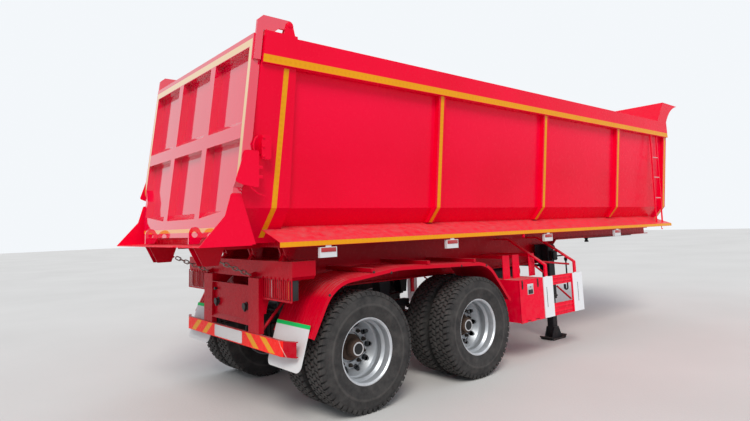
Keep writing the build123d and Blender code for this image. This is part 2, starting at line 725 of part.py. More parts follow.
web_half = beam_y - beam_web_t / 2
tube_pitch = 760
tube_count = int((neck_x - neck_slope - rear_axle_x + 300) // tube_pitch) + 1
with BuildPart() as cross_members:
    for i in range(tube_count):
        with BuildSketch(Plane.XZ.offset(-web_half)):
            with Locations((rear_axle_x - 300 + i * tube_pitch, 1240)):
                Circle(60)
                Circle(54, mode=Mode.SUBTRACT)
        extrude(amount=2 * web_half)
    for x in (neck_x + 450, front_wall_x - 100, chassis_front_x - 60):
        add(box((x, x + 60), (-web_half, web_half),
                (neck_bottom_z + beam_flange_t, chassis_top_z - beam_flange_t)))
cross_members.part.label = "cross_members"

# rear cross beam with the hinge ears and pins
lamp_y = (620, 1140)
cage_low_z = 1040
cage_bars = 8
eye_t = 6
eye_clear = 0.8
rear_beam_corner = 30         # lower corners at the ends
drain_y = (120, 760)
drain_r = 14
chain_x = rear_axle_x - chain_low[0]
with BuildPart() as rear_beam:
    for inset, mode in ((0, Mode.ADD), (plate_t, Mode.SUBTRACT)):
        with BuildSketch(Plane.YZ.offset(rear_beam_x + inset)) as beam_outline:
            with Locations((0, (rear_beam_z + rear_beam_top_z) / 2)):
                Rectangle(2 * (rear_beam_half - inset), rear_beam_top_z - rear_beam_z - 2 * inset)
            chamfer(beam_outline.vertices().sort_by(Axis.Y)[:2], rear_beam_corner)
        extrude(amount=rear_beam_depth - 2 * inset, mode=mode)
    # drain holes in the underside
    with BuildSketch(Plane.XY.offset(rear_beam_z - 1)):
        for y in drain_y:
            with Locations((rear_beam_x + rear_beam_depth / 2, y), (rear_beam_x + rear_beam_depth / 2, -y)):
                Circle(drain_r)
    extrude(amount=plate_t + 2, mode=Mode.SUBTRACT)
    for y in [side * spread for side in (-1, 1) for spread in hinge_spread]:
        with BuildSketch(Plane.XZ.offset(-(y - hinge_ear_t / 2))):
            with BuildLine():
                Polyline((tip_hinge_x - 80, rear_beam_top_z), (tip_hinge_x - 42, tip_hinge_z))
                ThreePointArc((tip_hinge_x - 42, tip_hinge_z), (tip_hinge_x, tip_hinge_z + 42),
                              (tip_hinge_x + 42, tip_hinge_z))
                Polyline((tip_hinge_x + 42, tip_hinge_z), (tip_hinge_x + 80, rear_beam_top_z),
                         (tip_hinge_x - 80, rear_beam_top_z))
            make_face()
        extrude(amount=-hinge_ear_t)
        pin_half = hinge_ear_t / 2 + hanger_t + 12
        with BuildSketch(Plane.XZ.offset(-(y - pin_half))):
            with Locations((tip_hinge_x, tip_hinge_z)):
                Circle(hinge_pin_r)
        extrude(amount=-2 * pin_half)
    # cages of flat bars round the tail lamps, and the eyes that hold the chains
    cage_x = (rear_beam_x - 8, rear_beam_x)
    for side in (-1, 1):
        add(box(cage_x, sorted((side * lamp_y[0], side * lamp_y[1])), (cage_low_z, cage_low_z + 14)))
        for i in range(cage_bars):
            y = side * (lamp_y[0] + 6 + i * (lamp_y[1] - lamp_y[0] - 12) / (cage_bars - 1))
            add(box(cage_x, (y - 6, y + 6), (cage_low_z, rear_beam_z + 20)))
        with BuildSketch(Plane.XZ.offset(-(side * chain_y - eye_t / 2))):
            with BuildLine():
                Polyline((rear_beam_x, chain_low[1] + 30), (rear_beam_x, chain_low[1] - 18),
                         (chain_x, chain_low[1] - 16))
                ThreePointArc((chain_x, chain_low[1] - 16), (chain_x - 16, chain_low[1]),
                              (chain_x, chain_low[1] + 16))
                Line((chain_x, chain_low[1] + 16), (rear_beam_x, chain_low[1] + 30))
            make_face()
            with Locations((chain_x, chain_low[1])):
                Circle(link_wire / 2 + eye_clear, mode=Mode.SUBTRACT)
        extrude(amount=-eye_t)
rear_beam.part.label = "rear_beam"

# underrun guard: two posts with gussets, a set-back panel and the channel bumper with bent ends
post_in = 410
post_out = 614
post_t = 6
post_rear_x = rear_beam_x - 40
post_face_x = rear_beam_x + 12
bumper_lip = 30
panel_z = (785, 1150)
sill_z = 830
with BuildPart() as underrun_guard:
    for side in (-1, 1):
        with BuildSketch(Plane.XY.offset(bumper_z + bumper_h)):
            with Locations(((post_rear_x + post_face_x) / 2, side * (post_in + post_out) / 2)):
                Rectangle(post_face_x - post_rear_x, post_out - post_in)
                Rectangle(post_face_x - post_rear_x - 2 * post_t, post_out - post_in - 2 * post_t,
                          mode=Mode.SUBTRACT)
        extrude(amount=rear_beam_z - bumper_z - bumper_h)
        for at in (post_in, post_out - plate_t):
            with BuildSketch(Plane.XZ.offset(-side * at)):
                with BuildLine():
                    Polyline((post_face_x, rear_beam_z), (post_face_x, 900), (post_face_x + 25, 900))
                    ThreePointArc((post_face_x + 25, 900), (post_face_x + 92, 1090),
                                  (rear_beam_x + rear_beam_depth - 10, rear_beam_z))
                    Line((rear_beam_x + rear_beam_depth - 10, rear_beam_z), (post_face_x, rear_beam_z))
                make_face()
            extrude(amount=-side * plate_t)
    # panel with a shelf along its top and a sloped sill along its foot
    panel_x = rear_beam_x - 10
    add(box((panel_x, panel_x + post_t), (-post_in, post_in), panel_z))
    add(box((post_rear_x, panel_x), (-post_in, post_in), (panel_z[1] - post_t, panel_z[1])))
    with BuildSketch(Plane.XZ.offset(-post_in)):
        Polygon((post_rear_x, panel_z[0]), (panel_x, panel_z[0]), (panel_x, sill_z),
                (post_rear_x, panel_z[0] + post_t), align=None)
    extrude(amount=2 * post_in)
    bend = (rear_axle_x - bumper_back, bumper_half)
    tip = (rear_axle_x - bumper_back + 60, bumper_half + 150)
    for depth, low, height, mode in ((bumper_lip, 0, bumper_h, Mode.ADD),
                                     (bumper_lip + 1, plate_t, bumper_h - 2 * plate_t, Mode.SUBTRACT)):
        start = 0 if mode == Mode.ADD else plate_t
        with BuildSketch(Plane.XY.offset(bumper_z + low)):
            with BuildLine():
                Polyline((tip[0] + start, -tip[1]), (bend[0] + start, -bend[1]), (bend[0] + start, bend[1]),
                         (tip[0] + start, tip[1]))
                offset(amount=depth - start, side=Side.RIGHT)
            make_face()
        extrude(amount=height, mode=mode)
underrun_guard.part.label = "underrun_guard"

with BuildPart() as tail_lamps:
    for side in (-1, 1):
        y = sorted((side * (lamp_y[0] + 10), side * (lamp_y[1] - 40)))
        add(box((rear_beam_x + 15, rear_beam_x + 90), y, (cage_low_z + 10, rear_beam_z)))
tail_lamps.part.label = "tail_lamps"

# one long mudguard over both wheels of a side, with raised lengthwise ribs
guard_top_z = 1262
guard_in = 610
guard_out = 1245
guard_t = 4
rib_h = 5
rib_w = 26
rib_pitch = 54
guard_lip = 30                # depth of the folded outer edge
guard_line = [(rear_axle_x - 632, 745), (rear_axle_x - 400, guard_top_z - 80),
              (rear_axle_x + 400, guard_top_z + 4), (front_axle_x + 195, guard_top_z - 40),
              (front_axle_x + 565, 770)]
guard_bends = [380, 1500, 380]
with BuildPart() as mudguard_left:
    bands = [(guard_in, guard_out, guard_t)]
    bands += [(y, y + rib_w, guard_t + rib_h) for y in range(guard_in + 45, guard_out - 45, rib_pitch)]
    for low_y, high_y, thick in bands:
        with BuildSketch(Plane.XZ.offset(-low_y)):
            with BuildLine():
                FilletPolyline(*guard_line, radius=guard_bends)
                offset(amount=thick, side=Side.LEFT)
            make_face()
        extrude(amount=-(high_y - low_y))
    with BuildSketch(Plane.XZ.offset(-(guard_out - guard_t))):
        with BuildLine():
            FilletPolyline(*guard_line, radius=guard_bends)
            offset(amount=guard_lip, side=Side.RIGHT)
        make_face()
    extrude(amount=-guard_t)
mudguard_left.part.label = "mudguard_left"

with BuildPart() as mudguard_right:
    mirror(mudguard_left.part, about=Plane.XZ)
mudguard_right.part.label = "mudguard_right"



def guard_height(x):
    """Height of the mudguard's underside at x, on its two long runs."""
    crown = guard_line[2]
    other = guard_line[1] if x < crown[0] else guard_line[3]
    return crown[1] + (x - crown[0]) * (other[1] - crown[1]) / (other[0] - crown[0])


with BuildPart() as guard_brackets:
    for side in (-1, 1):
        for x in (rear_axle_x + 40, rear_axle_x + 780, front_axle_x - 60):
            y = sorted((side * (beam_y + beam_web_t / 2), side * guard_out))
            low = max(guard_height(x), guard_height(x + 40)) + 1.01 * (guard_t + rib_h) + seat
            add(box((x, x + 40), y, (low, low + 38)))
guard_brackets.part.label = "guard_brackets"

flap_top_z = 846
flap_low_z = 470
flap_rake = 112
guard_end = guard_line[0]
end_run = hypot(guard_line[1][0] - guard_end[0], guard_line[1][1] - guard_end[1])
rib_end = (guard_end[0] - (guard_t + rib_h) * (guard_line[1][1] - guard_end[1]) / end_run,
           guard_end[1] + (guard_t + rib_h) * (guard_line[1][0] - guard_end[0]) / end_run)
flap_x = rib_end[0] - seat + flap_rake * (flap_top_z - rib_end[1]) / (flap_top_z - flap_low_z)
flap_w = 550
with BuildPart() as mudflaps:
    with BuildSketch(Plane.XZ.offset(-650)):
        Polygon((flap_x, flap_top_z), (flap_x - 6, flap_top_z),
                (flap_x - 6 - flap_rake, flap_low_z), (flap_x - flap_rake, flap_low_z), align=None)
    extrude(amount=-flap_w)
    with BuildSketch(Plane.YZ.offset(flap_x - 2 * flap_rake)) as flap_face:
        with Locations((650 + flap_w / 2, (flap_top_z + flap_low_z) / 2)):
            Rectangle(flap_w, flap_top_z - flap_low_z)
        fillet(flap_face.vertices().sort_by(Axis.Y)[:2], 60)
    extrude(amount=3 * flap_rake, mode=Mode.INTERSECT)
    mirror(about=Plane.XZ)
mudflaps.part.label = "mudflaps"

# toolbox on the right side, with a drop-down door
box_x = (rear_axle_x + 2320, rear_axle_x + 2805)
box_y = (-1225, -860)
box_z = (475, 970)
box_t = 3
hang_z = 1215                 # bars that carry the toolbox and the side guards
door_pin = (box_y[0] - 11, box_z[0] + 4)
door_pin_r = 5
with BuildPart() as toolbox:
    add(box(box_x, box_y, box_z))
    add(box((box_x[0] + box_t, box_x[1] - box_t), (box_y[0] - 1, box_y[1] - box_t),
            (box_z[0] + box_t, box_z[1] - box_t)), mode=Mode.SUBTRACT)
    for x in (box_x[0] + 5, box_x[0] + 205):
        add(box((x, x + 135), (-1010, -1000), (box_z[1], hang_z + 40)))
        add(box((x + 40, x + 95), (-1000, -beam_y - beam_web_t / 2), (hang_z, hang_z + 40)))
    # hinge rod under the door, on two lugs
    for x in (box_x[0] + 2, box_x[1] - 14):
        add(box((x, x + 12), (door_pin[0] - 7, box_y[0]), (box_z[0] - 4, box_z[0] + 12)))
    with BuildSketch(Plane.YZ.offset(box_x[0] + 2)):
        with Locations(door_pin):
            Circle(door_pin_r)
    extrude(amount=box_x[1] - box_x[0] - 4)
toolbox.part.label = "toolbox"

with BuildPart() as toolbox_door:
    add(box(box_x, (box_y[0] - 14, box_y[0] - 6), (box_z[0] + 18, box_z[1])))
    for x in (box_x[0] + 30, box_x[0] + 200, box_x[1] - 110):
        with BuildSketch(Plane.YZ.offset(x)):
            with BuildLine():
                Polyline((door_pin[0] - 3, box_z[0] + 18), (door_pin[0] - 9, door_pin[1]))
                ThreePointArc((door_pin[0] - 9, door_pin[1]), (door_pin[0], door_pin[1] - 9),
                              (door_pin[0] + 9, door_pin[1]))
                Polyline((door_pin[0] + 9, door_pin[1]), (door_pin[0] + 5, box_z[0] + 18),
                         (door_pin[0] - 3, box_z[0] + 18))
            make_face()
            with Locations(door_pin):
                Circle(door_pin_r + hinge_clear, mode=Mode.SUBTRACT)
        extrude(amount=80)
toolbox_door.part.label = "toolbox_door"

guard_x = (box_x[1] + 7, box_x[1] + 920)
panel_w = 205
slot_length = 250
with BuildPart() as side_guard_left:
    # end panels, each with one upright slot
    for x, width, slot_at in ((guard_x[0], panel_w, 63), (guard_x[1] - panel_w - 60, panel_w + 60, 143)):
        add(box((x, x + width), (1232, 1245), (box_z[0], box_z[1])))
        with BuildSketch(Plane.XZ.offset(-1231)):
            with Locations((x + slot_at, (box_z[0] + box_z[1]) / 2)):
                SlotOverall(slot_length, 14, rotation=90)
        extrude(amount=-15, mode=Mode.SUBTRACT)
    # ribbed bars: a shallow channel with two raised beads
    for z, height in ((box_z[0], 150), (box_z[1] - 115, 115)):
        span = (guard_x[0] + panel_w, guard_x[1] - panel_w - 60)
        with BuildSketch(Plane.YZ.offset(span[0])):
            with BuildLine():
                Polyline((1215, z), (1236, z), (1236, z + height * 0.2), (1243, z + height * 0.3),
                         (1236, z + height * 0.4), (1236, z + height * 0.6), (1243, z + height * 0.7),
                         (1236, z + height * 0.8), (1236, z + height), (1215, z + height))
                offset(amount=3, side=Side.LEFT)
            make_face()
        extrude(amount=span[1] - span[0])
    # bent tubes that carry it from the main beam
    for x in (guard_x[0] + 70, guard_x[1] - 160):
        with BuildSketch(Plane.YZ.offset(x)):
            with BuildLine():
                Polyline((beam_y + beam_web_t / 2, 1425), (680, 1425), (1212, 1110), (1212, box_z[1] - 350))
                offset(amount=20, side=Side.LEFT)
            make_face()
        extrude(amount=50)
    # hanging plate behind the first panel, on its own bar
    x = guard_x[0] + 55
    add(box((x, x + 125), (1000, 1010), (box_z[1], hang_z + 40)))
    add(box((x + 35, x + 90), (beam_y + beam_web_t / 2, 1000), (hang_z, hang_z + 40)))
side_guard_left.part.label = "side_guard_left"

with BuildPart() as side_guard_right:
    mirror(side_guard_left.part, about=Plane.XZ)
side_guard_right.part.label = "side_guard_right"

leg_x = neck_x - 390
leg_y = 650
leg_d = 150                   # along the trailer
leg_w = 130
leg_inner_z = 560             # lower end of the outer tube
foot_t = 12
foot_half = 190
foot_flat = 150
foot_w = 200
with BuildPart() as landing_legs:
    for side in (-1, 1):
        y = side * leg_y
        with BuildSketch(Plane.XY.offset(leg_inner_z)):
            with Locations((leg_x, y)):
                RectangleRounded(leg_d, leg_w, 14)
        extrude(amount=1330 - leg_inner_z)
        with BuildSketch(Plane.XY.offset(foot_t)):
            with Locations((leg_x, y)):
                RectangleRounded(leg_d - 40, leg_w - 30, 10)
        extrude(amount=leg_inner_z - foot_t)
        # foot folded from plate, with a gusset each side of the tube
        with BuildSketch(Plane.XZ.offset(-(y - foot_w / 2))):
            with BuildLine():
                Polyline((leg_x - foot_half, 42), (leg_x - foot_flat, 0), (leg_x + foot_flat, 0),
                         (leg_x + foot_half, 42))
                offset(amount=foot_t, side=Side.LEFT)
            make_face()
        extrude(amount=-foot_w)
        for at in (y - leg_w / 2 + 15 - foot_t, y + leg_w / 2 - 15):
            with BuildSketch(Plane.XZ.offset(-at)):
                Polygon((leg_x - 135, foot_t), (leg_x + 135, foot_t), (leg_x + 55, 170), (leg_x - 55, 170),
                        align=None)
            extrude(amount=-foot_t)
        # mounting plate on the beam's side, with a bracket to the web
        inner_y = side * (leg_y - leg_w / 2)
        with BuildSketch(Plane.XZ.offset(-inner_y)):
            Polygon((leg_x - 200, 1330), (leg_x - 200, 1180), (leg_x - 75, 940), (leg_x + 75, 940),
                    (leg_x + 200, 1180), (leg_x + 200, 1330), align=None)
        extrude(amount=side * foot_t)
        add(box((leg_x - 60, leg_x + 60), sorted((side * (beam_y + beam_web_t / 2), inner_y)), (1235, 1320)))
    with BuildSketch(Plane.XZ.offset(leg_y - leg_w / 2)):
        with Locations((leg_x, 1020)):
            Circle(18)
    extrude(amount=-(2 * leg_y - leg_w))
    # gearbox and folded crank on the right leg
    crank_y = -leg_y - leg_w / 2 - 25
    add(box((leg_x - 60, leg_x + 60), (crank_y - 25, crank_y + 25), (1100, 1240)))
    with BuildLine() as crank_path:
        FilletPolyline((leg_x + 60, crank_y, 1155), (leg_x + 330, crank_y, 1155), (leg_x + 330, crank_y, 665),
                       (leg_x + 255, crank_y, 665), (leg_x + 255, crank_y, 740), radius=28)
    with BuildSketch(Plane(origin=crank_path.line @ 0, z_dir=crank_path.line % 0)):
        Circle(11)
    sweep(path=crank_path.line)
landing_legs.part.label = "landing_legs"

# skid plate with the kingpin
kingpin_r = 36.5
kingpin_neck_r = 25.4
with BuildPart() as skid_plate:
    add(box((kingpin_x - 900, kingpin_x + 500), (-590, 590), (neck_bottom_z - 10, neck_bottom_z)))
    with BuildSketch(Plane.XZ):
        with BuildLine():
            Polyline((kingpin_x, neck_bottom_z - 10), (kingpin_x + 57, neck_bottom_z - 10),
                     (kingpin_x + 57, neck_bottom_z - 26), (kingpin_x + kingpin_r, neck_bottom_z - 34),
                     (kingpin_x + kingpin_r, neck_bottom_z - 50), (kingpin_x + kingpin_neck_r, neck_bottom_z - 55),
                     (kingpin_x + kingpin_neck_r, neck_bottom_z - 80), (kingpin_x + 35.75, neck_bottom_z - 85),
                     (kingpin_x + 35.75, neck_bottom_z - 110), (kingpin_x, neck_bottom_z - 110), close=True)
        make_face()
    revolve(axis=Axis((kingpin_x, 0, 0), (0, 0, 1)))
skid_plate.part.label = "skid_plate"

# leaf springs between hangers, axles under them
hanger_w = 130
spring_seat_z = spring_top_z + spring_rise + seat
rocker_half = axle_spacing / 2 - spring_span / 2 + 32
hanger_stations = (rear_axle_x - 425, rear_axle_x + axle_spacing / 2, front_axle_x + 425)
with BuildPart() as spring_hangers:
    for y in (-spring_y, spring_y):
        for x in hanger_stations:
            with BuildSketch(Plane.XZ.offset(-(y - hanger_w / 2))):
                Polygon((x - 80, beam_bottom_z), (x + 80, beam_bottom_z), (x + 45, spring_seat_z),
                        (x - 45, spring_seat_z), align=None)
            extrude(amount=-hanger_w)
        # rocking beam between the two springs
        x = hanger_stations[1]
        add(box((x - rocker_half, x + rocker_half), (y - 40, y + 40), (spring_seat_z, spring_seat_z + 70)))
spring_hangers.part.label = "spring_hangers"

with BuildPart() as leaf_springs:
    for y in (-spring_y, spring_y):
        for x in (rear_axle_x, front_axle_x):
            for i in range(leaf_count):
                half = spring_span / 2 - 62 * i
                low = spring_low_z + leaf_t * (leaf_count - 1 - i)
                rise = spring_rise * (2 * half / spring_span) ** 2
                with BuildSketch(Plane.XZ.offset(-(y - spring_w / 2))):
                    with BuildLine():
                        ThreePointArc((x - half, low + rise), (x, low), (x + half, low + rise))
                        Line((x + half, low + rise), (x + half, low + rise + leaf_t))
                        ThreePointArc((x + half, low + rise + leaf_t), (x, low + leaf_t),
                                      (x - half, low + rise + leaf_t))
                        Line((x - half, low + rise + leaf_t), (x - half, low + rise))
                    make_face()
                extrude(amount=-spring_w)
leaf_springs.part.label = "leaf_springs"

axle_half = track_half - 225
with BuildPart() as axles:
    for x in (rear_axle_x, front_axle_x):
        add(box((x - axle_side / 2, x + axle_side / 2), (-axle_half, axle_half),
                (hub_z - axle_side / 2, hub_z + axle_side / 2)))
        for y in (-spring_y, spring_y):
            add(box((x - 60, x + 60), (y - spring_w / 2, y + spring_w / 2),
                    (hub_z + axle_side / 2, spring_low_z)))
        for side in (-1, 1):
            start = side * axle_half
            with BuildSketch(Plane.XZ.offset(-start)):
                with Locations((x, hub_z)):
                    Circle(spindle_r)
            extrude(amount=-side * 260)
            chamber_y = side * 330 - 75
            with BuildSketch(Plane.XZ.offset(-chamber_y)):
                with Locations((x + 190, hub_z + 60)):
                    Circle(85)
            extrude(amount=-150)
            add(box((x + axle_side / 2, x + 130), (side * 330 - 30, side * 330 + 30), (hub_z, hub_z + 60)))
axles.part.label = "axles"

tank_x = leg_x - 960
with BuildPart() as air_tanks:
    for y in (-260, 260):
        with BuildSketch(Plane.YZ.offset(tank_x)):
            with Locations((y, 960)):
                Circle(130)
        extrude(amount=640)
        for x in (tank_x + 100, tank_x + 500):
            low, high = sorted((y, y / abs(y) * (web_half - beam_flange_w / 2 + beam_web_t / 2)))
            add(box((x, x + 40), (low, high), (beam_bottom_z, beam_bottom_z + beam_flange_t)))
air_tanks.part.label = "air_tanks"

# =====================================================================  TIPPING CYLINDER
cylinder_x = lift_eye_x
with BuildPart() as cylinder_cradle:
    add(box((cylinder_x - 70, cylinder_x + 70), (-web_half, web_half), (1420, 1440)))
    for y in (-140, 115):
        with BuildSketch(Plane.XZ.offset(-y)):
            with BuildLine():
                Polyline((cylinder_x - 70, 1440), (cylinder_x - 45, cylinder_foot_z))
                ThreePointArc((cylinder_x - 45, cylinder_foot_z), (cylinder_x, cylinder_foot_z + 45),
                              (cylinder_x + 45, cylinder_foot_z))
                Polyline((cylinder_x + 45, cylinder_foot_z), (cylinder_x + 70, 1440),
                         (cylinder_x - 70, 1440))
            make_face()
            with Locations((cylinder_x, cylinder_foot_z)):
                Circle(trunnion_r + hinge_clear, mode=Mode.SUBTRACT)
        extrude(amount=-25)
cylinder_cradle.part.label = "cylinder_cradle"

with BuildPart() as cylinder_barrel:
    with BuildSketch(Plane.XY.offset(cylinder_foot_z - 40)):
        with Locations((cylinder_x, 0)):
            Circle(barrel_r)
    extrude(amount=cylinder_length)
    with BuildSketch(Plane.XY.offset(cylinder_foot_z)):
        with Locations((cylinder_x, 0)):
            Circle(barrel_r - stage_wall)
    extrude(amount=cylinder_length, mode=Mode.SUBTRACT)
    for y in (-150, barrel_r - 4):
        with BuildSketch(Plane.XZ.offset(-y)):
            with Locations((cylinder_x, cylinder_foot_z)):
                Circle(trunnion_r)
        extrude(amount=-(154 - barrel_r))
cylinder_barrel.part.label = "cylinder_barrel"

stages = []
for i in range(stage_count):
    outer = barrel_r - (i + 1) * (stage_wall + stage_clear)
    with BuildPart() as cylinder_stage:
        with BuildSketch(Plane.XY.offset(cylinder_foot_z + 2 + 2 * i)):
            with Locations((cylinder_x, 0)):
                Circle(outer)
                Circle(outer - stage_wall, mode=Mode.SUBTRACT)
        extrude(amount=cylinder_length - 40 + 14 * i)
        if i == stage_count - 1:
            eye_low = cylinder_foot_z + cylinder_length - 60 + 16 * i
            with BuildSketch(Plane.XZ.offset(25)):
                with BuildLine():
                    Polyline((cylinder_x - outer + 12, eye_low), (cylinder_x + outer - 12, eye_low),
                             (cylinder_x + 40, lift_eye_z))
                    ThreePointArc((cylinder_x + 40, lift_eye_z), (cylinder_x, lift_eye_z + 40),
                                  (cylinder_x - 40, lift_eye_z))
                    Line((cylinder_x - 40, lift_eye_z), (cylinder_x - outer + 12, eye_low))
                make_face()
            extrude(amount=-50)
            with BuildSketch(Plane.XZ.offset(92)):
                with Locations((cylinder_x, lift_eye_z)):
                    Circle(22)
            extrude(amount=-184)
            with BuildSketch(Plane.XY.offset(eye_low)):
                with Locations((cylinder_x, 0)):
                    Circle(outer - stage_wall + 1)
            extrude(amount=20)
    cylinder_stage.part.label = f"cylinder_stage_{i + 1}"
    stages.append(cylinder_stage)

# =====================================================================  CHAINS
# Each link is a round wire bent to a long oval. They turn by a quarter from one to the next and
# lie in each other's ends, from the eye on the rear beam up to the hook under the chute.
chain_rise = chain_high[1] - chain_low[1]
chain_run = chain_high[0] - chain_low[0]
link_count = int(hypot(chain_run, chain_rise) // link_pitch)
link_bend = (link_inside + link_wire) / 2
with BuildPart() as hook_chains:
    for side in (-1, 1):
        base = Plane(origin=(chain_x, side * chain_y, chain_low[1]), x_dir=(-chain_run, 0, chain_rise),
                     z_dir=(0, 1, 0))
        for i in range(link_count):
            middle = link_pitch / 2 + link_wire / 2 + i * (link_pitch - link_gap)
            turn = base if i % 2 else Plane(origin=base.origin, x_dir=base.x_dir, z_dir=base.y_dir)
            straight = link_pitch / 2 + link_wire / 2 - link_bend
            with BuildLine(turn) as oval:
                Line((middle - straight, link_bend), (middle + straight, link_bend))
                ThreePointArc((middle + straight, link_bend), (middle + straight + link_bend, 0),
                              (middle + straight, -link_bend))
                Line((middle + straight, -link_bend), (middle - straight, -link_bend))
                ThreePointArc((middle - straight, -link_bend), (middle - straight - link_bend, 0),
                              (middle - straight, link_bend))
            with BuildSketch(Plane(origin=oval.line @ 0, z_dir=oval.line % 0)):
                Circle(link_wire / 2)
            sweep(path=oval.line)
hook_chains.part.label = "hook_chains"

# =====================================================================  WHEELS
# Profiles are (radius, distance outwards): a rim and a casing from their own centre plane,
# a disc and the hub from the plane where the two discs meet.
rim_end = rim_width / 2
rim_profile = [
    (flange_r, -rim_end), (flange_r, -rim_end + 6), (bead_r, -rim_end + 14), (bead_r - 3, -rim_end + 45),
    (bead_r - 24, -rim_end + 72), (bead_r - 24, rim_end - 108), (bead_r - 3, rim_end - 80),
    (bead_r, rim_end - 14), (flange_r, rim_end - 6), (flange_r, rim_end), (flange_r - 8, rim_end),
    (bead_r - 8, rim_end - 14), (bead_r - 10, rim_end - 84), (bead_r - 31, rim_end - 111),
    (bead_r - 31, -rim_end + 68), (bead_r - 10, -rim_end + 42), (bead_r - 8, -rim_end + 14),
    (flange_r - 8, -rim_end),
]
disc_profile = [
    (hub_r, 0), (190, 0), (202, 5), (236, 48), (256, 78), (bead_r - 9, 92), (bead_r - 9, 102),
    (250, 90), (227, 57), (196, 15), (189, 12), (hub_r, 12),
]
hub_profile = [
    (spindle_r + hinge_clear, -90), (72, -90), (72, -54), (drum_r - 12, -54),
    (drum_r - 12, -54 - drum_length), (drum_r, -54 - drum_length), (drum_r, -40), (190, -30),
    (190, -12), (120, -12), (120, 40), (88, 62), (88, 104), (80, 132), (60, 150), (0, 150), (0, 78),
    (spindle_r + hinge_clear, 78),
]
half_casing = [
    (bead_r + seat, -80), (bead_r + seat, -99), (flange_r + 3, -109), (flange_r + 8, -116), (340, -131),
    (390, -shoulder), (440, -shoulder), (488, -139), (518, -128), (tyre_d / 2 - 4, -112),
    (tyre_d / 2, -100),
]
casing_inside = [
    (tyre_d / 2 - 36, -80), (490, -106), (440, -122), (390, -122), (340, -108), (305, -90),
]
casing_profile = half_casing + [(r, -t) for r, t in reversed(half_casing)]
casing_profile += [(r, -t) for r, t in reversed(casing_inside)] + casing_inside

twins = []
for x, row in ((rear_axle_x, "rear"), (front_axle_x, "front")):
    for side, name in ((1, "left"), (-1, "right")):
        middle = side * track_half
        wheel_axis = Axis((x, 0, hub_z), (0, 1, 0))
        with BuildPart() as tyres:
            for way in (-1, 1):
                y = middle + way * twin_spacing / 2
                with BuildSketch(Plane.XY.offset(hub_z)):
                    Polygon(*[(x + r, y + t) for r, t in casing_profile], align=None)
                revolve(axis=wheel_axis)
        tyres.part.label = f"tyres_{row}_{name}"
        twins.append(tyres)

        with BuildPart() as rims:
            for way in (-1, 1):
                y = middle + way * twin_spacing / 2
                with BuildSketch(Plane.XY.offset(hub_z)):
                    Polygon(*[(x + r, y + way * t) for r, t in rim_profile], align=None)
                    Polygon(*[(x + r, middle + way * t) for r, t in disc_profile], align=None)
                revolve(axis=wheel_axis)
            with BuildSketch(Plane.XZ.offset(-(middle - 130))):
                with Locations((x, hub_z)):
                    with PolarLocations(hand_hole_ring, hand_holes):
                        Circle(hand_hole_r)
            extrude(amount=-260, mode=Mode.SUBTRACT)
            with BuildSketch(Plane.XY.offset(hub_z)):
                Polygon(*[(x + r, middle + side * t) for r, t in hub_profile], align=None)
            revolve(axis=wheel_axis)
        rims.part.label = f"rims_{row}_{name}"
        twins.append(rims)

# =====================================================================  EXPORT
built = [
    tub_floor, side_wall_left, side_wall_right, front_wall, cylinder_housing, lift_bracket,
    front_visor, top_rail_left, top_rail_right,
    side_stakes_left, side_stakes_right, side_ledge_left, side_ledge_right, rear_post_left,
    rear_post_right, tail_chute, tub_subframe, tub_cross_members, gate_hooks, ladder, marker_lamps, tailgate_panel,
    tailgate_frame, tailgate_arms, lock_lugs, main_beams, cross_members, rear_beam, underrun_guard,
    tail_lamps, mudguard_left, mudguard_right, guard_brackets, mudflaps, toolbox, toolbox_door,
    side_guard_left, side_guard_right, landing_legs, skid_plate, spring_hangers, leaf_springs, axles,
    air_tanks, cylinder_cradle, cylinder_barrel, *stages, hook_chains, *twins,
]
for piece in built:
    export_step(piece.part, f"parts/{piece.part.label}.step")
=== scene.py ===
import json
from math import cos, pi, radians, sin

import bmesh
import bpy
from mathutils import Matrix, Vector


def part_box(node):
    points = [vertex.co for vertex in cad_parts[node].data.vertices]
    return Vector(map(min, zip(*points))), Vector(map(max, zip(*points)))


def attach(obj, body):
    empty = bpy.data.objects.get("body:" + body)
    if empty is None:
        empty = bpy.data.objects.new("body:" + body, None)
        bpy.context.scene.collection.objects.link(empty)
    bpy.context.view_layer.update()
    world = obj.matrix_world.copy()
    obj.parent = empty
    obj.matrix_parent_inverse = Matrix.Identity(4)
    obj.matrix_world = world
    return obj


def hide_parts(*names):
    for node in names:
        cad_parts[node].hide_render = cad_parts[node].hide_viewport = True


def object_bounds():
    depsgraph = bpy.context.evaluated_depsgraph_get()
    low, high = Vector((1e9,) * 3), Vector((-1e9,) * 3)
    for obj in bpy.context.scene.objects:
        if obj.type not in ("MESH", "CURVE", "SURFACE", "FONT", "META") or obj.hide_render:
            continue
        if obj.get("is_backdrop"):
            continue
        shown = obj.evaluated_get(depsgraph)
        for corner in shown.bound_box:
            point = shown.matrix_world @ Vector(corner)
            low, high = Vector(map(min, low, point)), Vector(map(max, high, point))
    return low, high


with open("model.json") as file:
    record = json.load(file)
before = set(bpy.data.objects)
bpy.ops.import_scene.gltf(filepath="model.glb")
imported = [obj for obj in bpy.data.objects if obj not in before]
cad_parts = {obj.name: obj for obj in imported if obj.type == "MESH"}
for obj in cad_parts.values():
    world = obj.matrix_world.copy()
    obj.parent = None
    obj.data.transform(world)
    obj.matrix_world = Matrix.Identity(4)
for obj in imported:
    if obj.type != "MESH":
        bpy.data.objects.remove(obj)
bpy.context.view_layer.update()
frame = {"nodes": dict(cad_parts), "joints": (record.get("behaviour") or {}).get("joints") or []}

scene = bpy.context.scene

